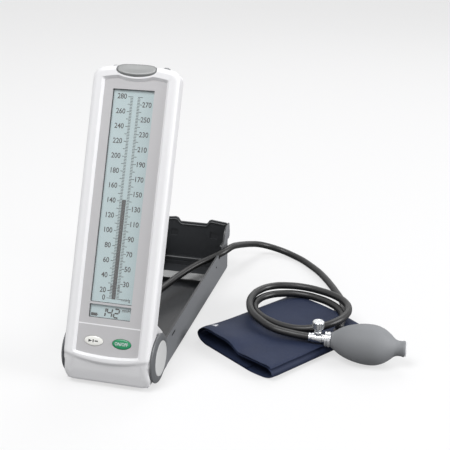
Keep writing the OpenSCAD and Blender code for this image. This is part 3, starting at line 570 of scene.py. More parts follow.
# Levels of the front cover's rounded edge, from its seam to its face: how far each draws in and its
# depth, and then its height and its depth along the chin's lower edge
INSET = (0.45, 0, 0, 0.17, 0.67, 1.46, 2.5, 3.7, 5.0)
DEPTH = (13, 13.45, 23, 24.29, 25.5, 26.54, 27.33, 27.83, 28)
CHIN_V = (-29.8, -30.3, -30.4, -30.15, -29.4, -27.4, -24.6, -21.2, -16.5)
CHIN_W = (13, 13.45, 14.2, 15.4, 16.5, 17.45, 18.85, 20.6, 22.9)


def edge_depth(level, x, v):
    """Depth of a level, in proportion to the face beside it."""
    return SEAM + (DEPTH[level] - SEAM) * (face_depth(x, v) - SEAM) / (FACE - SEAM)


def side_column(half, v):
    """The edge's levels on a straight side."""
    return [(half - inset, v, edge_depth(k, half - inset, v)) for k, inset in enumerate(INSET)]


def chin_corner(share):
    """The edge's levels round the chin's corner, at a share of its turn."""
    a = math.radians(-90 + 90 * share)
    column = []
    for k, inset in enumerate(INSET):
        d = min(between(max(CHIN_V[k] - CHIN_FOOT, 0) if k > 2 else inset, inset, share), 8.5)
        x = CHIN_HALF - CHIN_R + (CHIN_R - d) * math.cos(a)
        v = CHIN_FOOT + CHIN_R + (CHIN_R - d) * math.sin(a)
        column.append((x, v, between(CHIN_W[k] if k < 5 else face_depth(x, v), edge_depth(k, x, v), share)))
    return column


def cover_columns():
    """The cover's right half, from the chin's middle to the crown's: in each column the edge's levels,
    then where the frame ends and where the panel starts."""
    columns = []
    for i in range(9):  # along the chin
        x, inner_x = (CHIN_HALF - CHIN_R) * i / 8, 31 * i / 8
        columns.append(([(x, v, w) for v, w in zip(CHIN_V, CHIN_W)], (inner_x, smile(inner_x) - 2.4),
                        (inner_x * 0.97, smile(inner_x * 0.97))))
    for i in range(1, 8):  # round the chin's corner
        m = i / 7
        columns.append((chin_corner(m), (31 + 3.5 * m, smile(31 + 3.5 * m) - 2.4 + 0.3 * m),
                        (30.1 + 3.0 * m, smile(30.1 + 3.0 * m) + 0.15 * m * m)))
    for i, v in enumerate((-18, -14, -10.8, -9.0)):  # up the chin's side, to its step
        columns.append((side_column(CHIN_HALF if i < 3 else 46.4, v), (34.9 + 0.35 * i, -1.7 + 0.2 * i),
                        (33.15 + 0.05 * i, 0.3 + 0.25 * i)))
    arc_v = crown(HALF_W - CORNER_R) - CORNER_R
    for v in (-8.2, -6.4, -5, -3.8, -2.6, -1.2, 1, 5, 12, 24, 40, 60, 85, 110, 140, 170, 200, 225, 245, 260,
              270, 276, arc_v):  # up the side
        share = (v + 8.2) / (arc_v + 8.2)
        columns.append((side_column(HALF_W, v), (36, between(-0.6, 279.4, share)),
                        (33.3, between(1.3, 278, share))))
    for i in range(1, 9):  # round the crown's corner
        a = math.radians(84 * i / 8)
        cos, sin = math.cos(a), math.sin(a)
        edge = [(HALF_W - CORNER_R + (CORNER_R - d) * cos, arc_v + (CORNER_R - d) * sin, w)
                for d, w in zip(INSET, DEPTH)]
        columns.append((edge, (34.5 + 1.5 * cos, 279.5 + 1.5 * sin), (32.4 + 0.9 * cos, 278 + 0.9 * sin)))
    for x in range(33, -1, -3):  # over the crown
        columns.append(([(x, crown(x) - d, w) for d, w in zip(INSET, DEPTH)], (x, panel_top(x) + 2.6),
                        (x, panel_top(x))))
    return columns


def front_cover_rings():
    """Rings of the front cover, from its seam over the rounded frame to the panel and back inside."""
    edges, ends, panels = zip(*cover_columns())
    shares = [rise_along(edge[-1], end) for edge, end in zip(edges, ends)]
    rings = [mirrored([(x, -w, v) for x, v, w in level]) for level in zip(*edges)]
    for n in range(5):
        half = []
        for edge, end, share in zip(edges, ends, shares):
            t = share[n] if n < 4 else 1
            x, v = between(edge[-1][0], end[0], t), between(edge[-1][1], end[1], t)
            half.append((x, -face_depth(x, v), v))
        rings.append(mirrored(half))
    seat, inside, wall = 23.2, 21.8, 2.4  # the panel's seat, the face from inside and the wall's thickness
    rim = mirrored([(x, -PANEL, v) for x, v in panels])
    ledge = [(x * 0.93, v + (2.6 if v < 20 and abs(x) < 33 else -2.6 if v > 276 else 0)) for x, _, v in rim]
    shrunk = [(x * (1 - wall / HALF_W), between(v, 130, 0.018)) for x, _, v in rings[1]]
    back = [(x, -min(inside, chin_depth(v) - 1.6), v) for x, v in shrunk]
    return rings + [rim, [(x, -seat, v) for x, _, v in rim], facing(ledge, seat), facing(ledge, inside),
                    back, facing(shrunk, SEAM), rings[0]]


def across_x(name, radius, start, end):
    """A cutter: a round bar along X through the hinge axis, upright on the display."""
    return loft(name, [[(x, y, z) for y, z in oval(radius, radius, steps=96)] for x in (start, end)],
                True, True)


class SPHYG_OT_front_cover(bpy.types.Operator):
    """Models the white front cover with its rounded frame, ridge and chin"""
    bl_idname = "sphyg.front_cover"
    bl_label = "Front cover"

    def execute(self, context):
        shell = loft("front_shell", front_cover_rings())
        pocket = release_outline(RELEASE_W + RELEASE_GAP, RELEASE_H + RELEASE_GAP, RELEASE_V)
        cut_away(shell, slab("pocket", pocket, 14.8, 34))
        for side in (-1, 1):
            cut_away(shell, across_x("ear_room", 22.9, side * 44.2, side * 50))
            cut_away(shell, across_x("ring_room", 26.6, side * 46.35, side * 50))
            slot = soft_box((side * 27.5 - 3.4, 284), (side * 27.5 + 3.4, 299), 0.4)
            cut_away(shell, slab("hook_room", slot, 12, 15))
        soften(shell, context.scene.sphyg_sizes.shell_edge, 2, 50)
        finish(shell, "shell", "display", ["front_cover"], DISPLAY, 40)
        return {"FINISHED"}


class SPHYG_OT_rear_cover(bpy.types.Operator):
    """Rounds the rear cover with its drum, and the battery door on it"""
    bl_idname = "sphyg.rear_cover"
    bl_label = "Rear cover and battery door"

    def execute(self, context):
        for name, node, body in (("rear_shell", "rear_cover", "display"),
                                 ("battery_door", "battery_cover", "battery_door")):
            shell = cast(name, node)
            soften(shell, context.scene.sphyg_sizes.shell_edge * 0.8, 2, 32)
            finish(shell, "shell", body, [node], angle=32)
        return {"FINISHED"}


def panel_outline():
    """The grey panel from in front."""
    half = [(x, smile(x)) for x in (0, 5, 10, 15, 20, 25, 29, 32, 33.2)]
    half += [(33.25, v) for v in (1.5, 40, 90, 140, 190, 240, 277)]
    half += [(32.4 + 0.85 * math.cos(a), 278 + 0.85 * math.sin(a)) for a in (0.3, 0.8, 1.3)]
    half += [(x, panel_top(x) - 0.05) for x in (30, 27, 24, 21, 18, 16, 14, 12, 9, 6, 3, 0)]
    return half + [(-x, v) for x, v in half[-2:0:-1]]


class SPHYG_OT_panel(bpy.types.Operator):
    """Models the grey front panel with its windows and key openings"""
    bl_idname = "sphyg.panel"
    bl_label = "Front panel"

    def execute(self, context):
        panel = slab("front_panel", panel_outline(), 23.9, PANEL)
        for low, high in (((-23.7, 51.4), (21, 270)), ((-23.7, 35.6), (21, 49.3))):
            cut_away(panel, slab("window", soft_box(low, high, 0.8), 23, 26))
        for side in (-1, 1):
            cut_away(panel, slab("key_hole", oval(KEY_W + 0.3, KEY_H + 0.3, (side * KEY_X, KEY_V)), 23, 26))
        soften(panel, 0.00015, 1, 50)
        finish(panel, "panel", "display", ["display_panel"], DISPLAY, 40)
        stripe = slab("panel_stripe", soft_box((-33.1, 28.05), (33.1, 29.35), 0.3), 25.3, 25.46)
        finish(stripe, "shell", "display", place=DISPLAY)
        return {"FINISHED"}


# Screen


PRINT_W, KEY_PRINT_W = 22.36, 26.56  # how far in front of the axis the screen's and the keys' prints end


def flat_mark(points, w=PRINT_W):
    """A thin printed mark."""
    return slab("mark", points, w - 0.02, w)


def joined(name, parts):
    """Several marks as one piece."""
    bpy.ops.object.select_all(action="DESELECT")
    for part in parts:
        part.select_set(True)
    bpy.context.view_layer.objects.active = parts[0]
    bpy.ops.object.join()
    parts[0].name = parts[0].data.name = name
    return parts[0]


def written(text, x, v, height, bold, w=PRINT_W, align="LEFT", squeeze=0.86):
    """Plain figures laid on the display, made a mesh before they are placed."""
    bpy.ops.object.select_all(action="DESELECT")
    bpy.ops.object.text_add()
    obj = bpy.context.active_object
    obj.data.body = text
    obj.data.align_x = align
    obj.data.align_y = "CENTER"
    obj.data.size = height / FIGURE_SHARE * MM
    obj.data.resolution_u = 3
    obj.data.offset = bold * MM
    obj.data.extrude = 0.00001
    bpy.ops.object.convert(target="MESH")
    obj = bpy.context.active_object
    obj.data.transform(Matrix.Translation((x * MM, -w * MM, v * MM)) @ turn(90, "X")
                       @ Matrix.Diagonal((squeeze, 1, 1, 1)))
    return obj


def scale_v(value):
    """Height of a value on the scale."""
    return 56.5 + 0.7371 * value if value < 20 else 64.1 + 0.76462 * (value - 20)


SEGMENTS = {"1": "bc", "2": "abged", "4": "fgbc", "0": "abcdef", "3": "abgcd", "5": "afgcd",
            "6": "afgecd", "7": "abc", "8": "abcdefg", "9": "abcdfg"}
DIGIT_W, DIGIT_H, DIGIT_SLOPE, SEGMENT_HALF = 5.2, 8.8, 0.1, 0.75  # a figure, and half a bar's width
FIGURE_SHARE = 0.69  # height of the font's figures over its size


def digit(character, x, v):
    """One seven-segment figure, leaning slightly, from its lower left corner."""
    t, width, half = SEGMENT_HALF, DIGIT_W, DIGIT_H / 2
    level = [(0.3, 0), (0.8, -t), (width - 0.8, -t), (width - 0.3, 0), (width - 0.8, t), (0.8, t)]
    upright = [(0, 0.3), (t, 0.8), (t, half - 0.8), (0, half - 0.3), (-t, half - 0.8), (-t, 0.8)]
    bars = {"a": (0, DIGIT_H, level), "g": (0, half, level), "d": (0, 0, level), "f": (0, half, upright),
            "b": (width, half, upright), "e": (0, 0, upright), "c": (width, 0, upright)}
    marks = []
    for key in SEGMENTS[character]:
        bar_x, bar_v, shape = bars[key]
        marks.append(flat_mark([(x + bar_x + px + (bar_v + pv) * DIGIT_SLOPE, v + bar_v + pv)
                                for px, pv in shape]))
    return marks


def tick_row(step, count, low, high):
    """One side of the scale: the same small mark at each step, from one edge to another."""
    first = flat_mark([(low, scale_v(0) - 0.3), (high, scale_v(0) - 0.3), (high, scale_v(0) + 0.3),
                       (low, scale_v(0) + 0.3)])
    ticks = [first]
    for i in range(1, count):
        tick = first.copy()
        tick.data = first.data.copy()
        tick.data.transform(Matrix.Translation((0, 0, (scale_v(i * step) - scale_v(0)) * MM)))
        bpy.context.scene.collection.objects.link(tick)
        ticks.append(tick)
    return joined("ticks", ticks)


class SPHYG_OT_screen(bpy.types.Operator):
    """Finishes the window and the cell, and draws the scale, the bar and the number"""
    bl_idname = "sphyg.screen"
    bl_label = "Screen"

    def execute(self, context):
        reading = context.scene.sphyg_sizes.reading
        marks = [tick_row(*row) for row in ((2, 141, -4.9, -2.1), (2, 141, 2.8, 5.6), (10, 29, -7.4, -4.7),
                                            (10, 29, 5.4, 8.3))]
        for values, x, align in ((range(0, 281, 20), -9.0, "RIGHT"), (range(30, 271, 20), 8.2, "LEFT")):
            for value in values:
                marks.append(written(str(value), x, scale_v(value), 5.2, 0.13, align=align, squeeze=0.9))
        top = scale_v(reading)
        marks.append(flat_mark([(-2.1, 55.7), (2.1, 55.7), (2.1, top), (-2.1, top)]))
        marks.append(written("mmHg", 8.2, 56.2, 2.9, 0.06))
        marks.append(written("mmHg", 10.4, 45.4, 3.3, 0.06))
        for character, x in zip(str(reading), (-12.6, -5.6, 1.9)):
            marks += digit(character, x, 37.4)
        marks.append(flat_mark(soft_box((-22.2, 37.1), (-15.6, 40.2), 0.4)))
        marks.append(flat_mark(soft_box((-15.5, 38), (-14.8, 39.3), 0.2)))
        finish(joined("screen_marks", marks), "segment", "display", place=DISPLAY, weighted=False)
        # Painted shade: the sheet's rim shows at the windows' left, upper and lower edges, where the recess
        # is in shade
        shade_mask = slab("screen_mask_painted_shade", soft_box((-28, 31.4), (28, 273.6), 1), 22.31, 22.34)
        for low, high in (((-23.3, 51.9), (21.4, 269.6)), ((-23.3, 36.1), (21.4, 48.9))):
            cut_away(shade_mask, slab("window", soft_box(low, high, 0.8), 22, 23))
        finish(shade_mask, "shade_mask", "display", place=DISPLAY, weighted=False)
        dress("screen_lens", "lens")
        dress("screen_glass", "cell")
        return {"FINISHED"}


def dress(node, key):
    """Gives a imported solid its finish."""
    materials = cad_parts[node].data.materials
    materials.clear()
    materials.append(FINISHES[key])


# Keys and the release button


KEY_LEVELS = ((22.4, -1.2), (23.5, -1.2), (23.5, 0), (25.3, 0), (25.75, 0.12), (26.05, 0.45), (26.25, 1.1),
              (26.4, 2.2), (26.48, 3.4), (26.5, 4.4))  # each level's distance out, and how much it draws in


def oval_key(name, x, node):
    """One of the two domed keys."""
    rings = [facing(oval(KEY_W - d, KEY_H - d, (x, KEY_V)), w) for w, d in KEY_LEVELS]
    finish(loft(name, rings, True, True), name, name, [node], DISPLAY, 50)


class SPHYG_OT_keys(bpy.types.Operator):
    """Models the two oval keys and their printed marks"""
    bl_idname = "sphyg.keys"
    bl_label = "Keys"

    def execute(self, context):
        oval_key("white_key", -KEY_X, "mark_key")
        marks = [flat_mark([(-20.2, 10.5), (-16.4, 12), (-20.2, 13.5)], KEY_PRINT_W)]
        for low, high in (((-15.8, 10.5), (-14.6, 13.5)), ((-13.6, 11.4), (-10.1, 12.6))):
            marks.append(flat_mark(soft_box(low, high, 0.2), KEY_PRINT_W))
        finish(joined("white_key_mark", marks), "key_print", "white_key", place=DISPLAY)
        oval_key("green_key", KEY_X, "power_key")
        word = written("ON/OFF", KEY_X, KEY_V, 3.1, 0.07, KEY_PRINT_W, "CENTER")
        word.name = word.data.name = "green_key_mark"
        finish(word, "white_print", "green_key", place=DISPLAY, weighted=False)
        return {"FINISHED"}


class SPHYG_OT_release(bpy.types.Operator):
    """Models the oval release button on the crown and rounds the latch hooks"""
    bl_idname = "sphyg.release"
    bl_label = "Release button and latch"

    def execute(self, context):
        rings = []
        # Each level: how far its outline draws in at the sides and below, and its depth at the lower edge
        for side, below, w in ((0, 0, 17.4), (0, 0, 27.6), (0.05, 0.15, 28.3), (0.3, 1.1, 29.2),
                               (0.5, 1.7, 29.5), (1.0, 2.3, 29.55), (3, 3.2, 29.3), (9, 4.6, 28.6)):
            above = side * 0.4
            ring = release_outline(RELEASE_W - side, RELEASE_H - (below + above) / 2,
                                   RELEASE_V + (below - above) / 2)
            tilt = 0 if w < 20 else 0.4
            rings.append([(x, -(w - tilt * (v - RELEASE_V + RELEASE_H - below)), v) for x, v in ring])
        button = loft("release_cap", rings, True, True)
        finish(button, "button", "release", ["release_button"], DISPLAY, 50)
        hooks = cast("latch_hooks", "latch_slider")
        soften(hooks, 0.0004, 2, 40)
        finish(hooks, "latch", "latch", ["latch_slider"])
        return {"FINISHED"}


# Hinge covers and case


class SPHYG_OT_hinge_covers(bpy.types.Operator):
    """Turns the ring and the cap over each hinge ear"""
    bl_idname = "sphyg.hinge_covers"
    bl_label = "Hinge rings and caps"

    def execute(self, context):
        # Each section goes from the ear outwards, as radius and distance from the ear's face
        sections = {
            "ring": [(18.75, 0.05), (25.3, 0.05), (25.8, 0.4), (26, 0.9), (25.85, 1.5), (25.35, 2.0),
                     (24.7, 2.3), (24.3, 2.35), (23.9, 2.5), (22.6, 3.1), (21.2, 3.55), (20.0, 3.8),
                     (19.3, 3.85), (18.95, 3.7), (18.75, 3.4)],
            "cap": [(0, 0.75), (10.6, 0.75), (10.6, 0.05), (18.5, 0.05), (18.55, 3.3), (18.45, 3.6),
                    (18.15, 3.85), (17.5, 4.0), (16.2, 4.1), (12, 4.25), (6, 4.35), (0, 4.4)]}
        for side, word in ((-1, "left"), (1, "right")):
            for key, section in sections.items():
                finish(turned(f"{word}_{key}", section, 128), key, "base", [f"{word}_hinge_{key}"],
                       at(side * EAR_X, 0, HINGE_Z) @ turn(side * 90, "Y"), 60)
        return {"FINISHED"}


def ear_trim(side):
    """A cutter that draws an ear in behind its ring, as a part ring about the hinge."""
    rings, last, outer = [], 32, 29
    for i in range(last + 1):
        a = math.radians(between(-76, 258, i / last))
        inner = 22.3 if 0 < i < last else 27.5
        corners = ((inner, 43), (inner, EAR_X + 0.05), (outer, EAR_X + 0.05), (outer, 43))
        rings.append([(side * x, -r * math.sin(a), HINGE_Z + r * math.cos(a)) for r, x in corners])
    return loft("ear_trim", rings, True, True)


def swept(name, path, section):
    """Carries a section, as y and height over the path, along a path seen from the front, as x and z."""
    rings = []
    for i, (x, z) in enumerate(path):
        x0, z0 = path[max(i - 1, 0)]
        x1, z1 = path[min(i + 1, len(path) - 1)]
        way = Vector((x1 - x0, z1 - z0)).normalized()
        rings.append([(x - way.y * up, y, z + way.x * up) for y, up in section])
    return loft(name, rings, True, True)


class SPHYG_OT_case(bpy.types.Operator):
    """Rounds the dark case, trims its end wall and lays its strap"""
    bl_idname = "sphyg.case"
    bl_label = "Case and strap"

    def execute(self, context):
        tray = cast("case_shell", "case_tray")
        for side in (-1, 1):
            cut_away(tray, ear_trim(side))
        soften(tray, context.scene.sphyg_sizes.case_edge, 2, 32)
        finish(tray, "case", "base", ["case_tray"], angle=32)
        # Painted light: a lighter grey on the case's outer faces
        self.coat_outside(tray)
        self.end_wall_trim()
        self.strap()
        return {"FINISHED"}

    def coat_outside(self, tray):
        """Gives the outer side of the walls and the underside the lighter grey, which is painted light."""
        tray.data.materials.append(FINISHES["case_outside"])
        wall_x, wall_y = 0.0461, 0.2993  # just within the walls' outer faces, in metres
        for face in tray.data.polygons:
            x, y, _ = face.center
            side = abs(x) > wall_x and abs(face.normal.x) > 0.25 and x * face.normal.x > 0
            face.material_index = int(side or y > wall_y or face.normal.z < -0.7)

    def end_wall_trim(self):
        """The bead under the end wall's rim and the rounded ledge at its foot."""
        half = smooth_line([(0, 58.6), (10, 58.6), (16.6, 58.7), (19.4, 60.2), (22.4, 64.1), (25.4, 65.1),
                            (31.2, 64.4), (43.8, 62.9)], 3)
        path = [(-p.x, p.y) for p in half[:0:-1]] + [(p.x, p.y) for p in half]
        wall_y = 297.1
        bead = swept("end_wall_bead", path, [(wall_y - y, up) for up, y in oval(1.25, 1.25, steps=16)])
        finish(bead, "case", "base", angle=60)
        rings = []
        for x, drawn in ((-39.4, 1.5), (-39.1, 0.7), (-38.5, 0.2), (-37.7, 0), (37.7, 0), (38.5, 0.2),
                         (39.1, 0.7), (39.4, 1.5)):
            outline = soft_box((290.4 + drawn, 7.7), (wall_y, 13.2 - drawn), 1.7, 5)
            rings.append([(x, y, z) for y, z in outline])
        finish(loft("foot_ledge", rings, True, True), "case", "base", angle=50)

    def strap(self):
        """The elastic strap, turned down at each wall."""
        turn_down = [(-43.7, 5), (-43.7, 7.4), (-43.4, 9), (-42.6, 10.2), (-41, 10.75)]
        sag = [(x, 10.75 - 0.35 * math.cos(x / 41 * math.pi / 2)) for x in range(-38, 39, 4)]
        path = turn_down + sag + [(-x, z) for x, z in turn_down[::-1]]
        upper = [(247.75, 0.42), (246.8, 0.55), (238, 0.6), (229.2, 0.55), (228.25, 0.42)]
        section = [(228.0, 0)] + [(y, -up) for y, up in upper[::-1]] + [(248.0, 0)] + upper
        finish(swept("strap", path, section), "strap", "base", ["case_strap"], angle=50)


# Hoses: points of their middle lines

CASE_HOSE = (
    (-14, 62, 18), (-14, 83, 18), (-14, 104, 18), (-13, 125, 18), (-11, 146, 18.5), (-7, 167, 19.8),
    (-1, 187, 21.6), (7, 207, 24.5), (17, 226, 28), (28, 241, 31.3), (39, 252, 34.5), (50, 263, 38.6),
    (57, 280, 40.1), (61, 299, 35.5), (65, 318, 29.5), (71, 336, 23.7), (80, 351, 18.2), (94, 361, 12),
    (111, 362, 7.5), (128, 355, 5), (143, 343, 4.5), (157, 327, 4.5), (170, 310, 4.5), (181, 292, 4.5),
    (191, 273, 4.5), (200, 254, 4.5), (208, 235, 5), (213, 216, 6.5), (212.6, 198, 8), (205, 184.7, 8),
)
BULB_HOSE = (
    (188.5, 95, 22), (168, 96, 23), (148, 100.5, 24.2), (131.5, 112, 25.8), (118.5, 127, 27),
    (111.2, 146, 27.5), (109.6, 167, 27.5), (115, 186.5, 27.5), (128, 201.5, 27.5), (146, 208, 27.5),
    (166, 208.5, 27.5), (186.5, 202.5, 27.8), (205.5, 191.5, 28.4), (218.5, 176.5, 29.2),
    (224.5, 158.5, 29.7), (222.5, 140, 29.8), (213, 123, 29), (197, 112, 26.3), (178, 110, 22.6),
    (159, 115, 20.4), (140.5, 124, 20), (125, 137, 20), (115.6, 154, 20), (115.3, 173, 20),
    (124.5, 189.5, 20), (142, 200, 20), (162.5, 203, 20), (183, 198, 20), (201, 187.5, 20), (214, 172, 20),
    (219, 153, 20), (218, 138, 20),
)


def hose_curve(name, route, diameter):
    """One smooth open curve through the points of a route."""
    bpy.ops.object.select_all(action="DESELECT")
    bpy.ops.curve.primitive_bezier_curve_add()
    obj = bpy.context.active_object
    obj.name = obj.data.name = name
    curve = obj.data
    curve.splines.clear()
    spline = curve.splines.new("BEZIER")
    spline.bezier_points.add(len(route) - 1)
    for point, place in zip(spline.bezier_points, route):
        point.co = Vector(place) * MM
        point.handle_left_type = point.handle_right_type = "AUTO"
    curve.dimensions = "3D"
    curve.resolution_u = curve.render_resolution_u = 10
    curve.bevel_depth = diameter / 2
    curve.bevel_resolution = 6
    curve.use_fill_caps = True
    return obj


class SPHYG_OT_hoses(bpy.types.Operator):
    """Lays the two rubber hoses"""
    bl_idname = "sphyg.hoses"
    bl_label = "Hoses"

    def execute(self, context):
        diameter = context.scene.sphyg_sizes.hose_diameter
        for name, route, node, length, lay in (("case_hose", CASE_HOSE, "hose_to_case", 0.573, "loose"),
                                               ("bulb_hose", BULB_HOSE, "hose_to_bulb", 0.622, "coiled")):
            hose = hose_curve(name, route, diameter)
            hose.data.materials.append(FINISHES["hose"])
            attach(hose, "base")
            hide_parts(node)
        return {"FINISHED"}


# Cuff: one strip of doubled cloth wound nearly twice round, drawn in its own frame

CUFF_THICK = 1.7  # thickness of the doubled cloth
CUFF_FRONT, CUFF_BACK, CUFF_ROWS = -79.2, 71.2, 53  # the near and the far mouth, and the rows across
ARM = Vector((0, 1, 0))  # the way the arm goes through


def lifted(line, start, heights):
    """A line with new heights from one of its points on."""
    raised = tuple((x, z) for (x, _), z in zip(line[start:], heights))
    return line[:start] + raised + line[start + len(heights):]


# The strip's middle line from its free end on top, round under the cuff and back inside: where it
# lies in the flat part of the cuff, at the open near mouth and at the far mouth
WOUND_FLAT = (
    (61, 14.5), (57, 14.85), (47, 14.9), (35, 14.9), (23, 14.9), (13, 14.9), (3, 14.9), (-8, 14.85),
    (-20, 14.8), (-32, 14.7), (-43, 14.2), (-52, 12.6), (-57.5, 9.8), (-59, 6.6), (-57, 3.3), (-52, 1.3),
    (-45, 0.9), (-30, 0.88), (-10, 0.88), (10, 0.88), (30, 0.88), (46, 0.88), (54, 1.3), (60, 3.4),
    (62, 6.6), (60.4, 10), (56, 12.4), (49, 13.05), (37, 13.1), (25, 13.1), (13, 13.1), (1, 13.1),
    (-12, 13.05), (-25, 12.95), (-38, 12.6), (-48, 11.3), (-53.5, 8.6), (-54.6, 6.3), (-53, 4.2),
    (-48, 2.9), (-40, 2.65), (-25, 2.65), (-8, 2.65), (10, 2.65), (28, 2.65))
WOUND_NEAR = (
    (61, 14.6), (57, 15.9), (47, 16.6), (35, 16.9), (23, 16.2), (13, 17.4), (5, 20.2), (-5, 22.2),
    (-19, 22.8), (-33, 21.9), (-44, 19.2), (-51.5, 15), (-55.5, 10.8), (-56.3, 7.4), (-54.5, 3.8),
    (-50, 1.5), (-43, 0.9), *WOUND_FLAT[17:22], (54, 1.4), (60.4, 3.8), (62.6, 7.2), (61, 10.6), (56.5, 13),
    (49, 14), (37, 14.3), (25, 13.4), (13, 14.8), (3, 17.6), (-8, 19.8), (-21, 20.3), (-34, 19),
    (-45, 14.8), (-50.6, 10), (-51.6, 7.2), (-50, 4.6), (-46, 3.1), (-39, 2.65), *WOUND_FLAT[41:])
WOUND_FAR = lifted(WOUND_FLAT, 0, (14.4, 15.2, 16.2, 17, 17.4, 17.6, 17.5, 17.2, 16.6, 15.8, 14.6))
WOUND_FAR = lifted(WOUND_FAR, 26, (12.6, 13.9, 14.8, 15.2, 15.4, 15.2, 14.7, 14, 12.9))


def smooth_line(points, steps=4):
    """A line of points made smooth, with each span cut into steps."""
    points = [Vector(p) for p in points]
    line = []
    for i in range(len(points) - 1):
        a, b = points[max(i - 1, 0)], points[i]
        c, d = points[i + 1], points[min(i + 2, len(points) - 1)]
        for k in range(steps):
            t = k / steps
            line.append(0.5 * ((2 * b) + (c - a) * t + (2 * a - 5 * b + 4 * c - d) * t * t
                               + (3 * b - a - 3 * c + d) * t * t * t))
    return line + [points[-1]]


def wrinkle(x, y, z, gape):
    """Rise of the upper layers: ripples and creases, less a valley that runs in from the near mouth."""
    valley = math.exp(-((x - 14 + (y + 79) * 0.9) / 9) ** 2) * eased((-y - 36) / 30)
    ripple = noise.noise(Vector((x * 0.045 + y * 0.02, y * 0.03 - x * 0.012, 4.2)))
    crease = noise.noise(Vector((x * 0.11 + y * 0.1, y * 0.03, 8.6)))
    return eased((z - 8) / 5) * (ripple * (0.25 + 1.3 * gape) - 0.9 * valley * gape + 0.5 * crease * gape)


def cuff_rows():
    """The strip's middle line in rows along the arm; the near mouth gapes, and the far one a little."""
    flat, near, far = (smooth_line(line) for line in (WOUND_FLAT, WOUND_NEAR, WOUND_FAR))
    rows = []
    for n in range(CUFF_ROWS):
        row = []
        for f, m, b in zip(flat, near, far):
            front = CUFF_FRONT + 4.5 * eased((f.x - 30) / 34) + 2.5 * eased((-f.x - 38) / 20)
            y = between(front, CUFF_BACK, n / (CUFF_ROWS - 1))
            gape, far_gape = eased((-y - 22) / 57) ** 1.3, eased((y - 30) / 42)
            x, z = f.lerp(m, gape).lerp(b, far_gape)
            x -= 2.4 * gape * eased(-x / 50)
            if z > 8:
                z += wrinkle(x, y, z, gape)
            row.append(Vector((x, y, z)))
        rows.append(row)
    return rows


def along(row, i):
    """The way a row of points goes at one of them."""
    return row[min(i + 1, len(row) - 1)] - row[max(i - 1, 0)]


def doubled(rows, thick):
    """A closed cloth about rows of middle points, with rounded hems all round."""
    rings, last = [], len(rows) - 1
    for n, row in enumerate(rows):
        share = (0, 0.62, 0.95, 1)[min(n, last - n, 3)]
        # A line of stitches draws the layers together 5 mm from each edge
        seam = 0.3 * math.exp(-((abs(n - last / 2) - last / 2 + 2.2) / 0.45) ** 2)
        outer, inner = [], []
        for i, p in enumerate(row):
            normal = along(row, i).cross(ARM).normalized()
            hem = (0, 0.7, 0.95, 1)[min(i, len(row) - 1 - i, 3)]
            half = max(thick / 2 * share * hem - seam, 0)
            outer.append(p - normal * half)
            inner.append(p + normal * half)
        rings.append(outer + inner[::-1])
    return rings


class SPHYG_OT_cuff(bpy.types.Operator):
    """Models the wound cloth cuff, its hook tape, index mark and outlets"""
    bl_idname = "sphyg.cuff"
    bl_label = "Cuff"

    def execute(self, context):
        rows = cuff_rows()
        cuff = loft("cuff_cloth", doubled(rows, CUFF_THICK))
        self.line_inside(cuff, rows)
        self.index_mark(cuff)
        nodes = ["cuff_cover", "cuff_flap", "cuff_bladder"]
        finish(cuff, "cuff", "base", nodes, CUFF, 70, False)
        # The second finish, on the faces inside the roll, is lining and painted shade
        cuff.data.materials.append(FINISHES["lining"])
        dress("cuff_hook_tape", "hook")
        self.ports()
        return {"FINISHED"}

    def line_inside(self, cuff, rows):
        """Marks the faces that look into the roll with the darker finish: a lining, and painted shade
        inside the roll.
        """
        places = [(p * MM, n, i) for n, row in enumerate(rows) for i, p in enumerate(row)]
        tree = kdtree.KDTree(len(places))
        for number, (place, _, _) in enumerate(places):
            tree.insert(place, number)
        tree.balance()
        for face in cuff.data.polygons:
            place, n, i = places[tree.find(face.center)[1]]
            inwards = along(rows[n], i).cross(ARM)
            face.material_index = int((face.center - place).dot(inwards) > 0)

    def index_mark(self, cuff):
        """Prints the white triangle that marks the artery, laid on the cloth under it."""
        rings = []
        for n in range(9):
            ring = []
            for i in range(-4, 5):
                x, y = -41.5 + i / 4 * 4.4 * (1 - n / 8), -67.5 + 7.5 * n / 8
                found, hit, _, _ = cuff.ray_cast(Vector((x, y, 60)) * MM, Vector((0, 0, -1)))
                ring.append((x, y, hit.z / MM if found else 16))
            rings.append([(x, y, z + 0.2) for x, y, z in ring]
                         + [(x, y, z - 0.1) for x, y, z in ring[::-1]])
        mark = loft("index_mark", rings, True, True)
        finish(mark, "white_print", "base", place=CUFF, weighted=False)

    def ports(self):
        """The two rubber outlets: one in the roll's far end, one that stands on the cuff with an arm."""
        side = turned("side_outlet", [(0, 60.5), (1.7, 60.5), (1.7, 71.6), (5.6, 71.6), (5.8, 72),
                                      (5.7, 72.5), (5.0, 73.2), (4.75, 74.5), (4.7, 76.6), (4.45, 77.3),
                                      (4.1, 77.7), (0, 77.7)], 48)
        side.data.transform(at(6.8, 0, 8) @ turn(-90, "X"))
        finish(side, "port", "base", ["cuff_side_port"], CUFF, 50)
        stem = turned("top_outlet", [(0, 12.7), (2.6, 12.7), (2.6, 15.75), (6.8, 15.75), (6.8, 16.1),
                                     (6.4, 16.5), (5.4, 16.75), (4.4, 17.2), (4.3, 19), (4.4, 22),
                                     (3.6, 24), (1.6, 24.9), (0, 25)], 48)
        stem.data.transform(at(218, 131, 0))
        arm = turned("top_outlet_arm", [(0, -3.4), (2.4, -3.2), (4.0, -2.4), (4.9, -1), (5.1, 0.6),
                                        (4.9, 3.4), (4.75, 6.2), (4.4, 6.8), (4.1, 6.95), (0, 6.95)], 48)
        arm.data.transform(at(218, 131, 20) @ turn(-90, "X"))
        top = joined("top_outlet", [stem, arm])
        finish(top, "port", "base", ["cuff_top_port"], angle=50)


# Bulb and valve


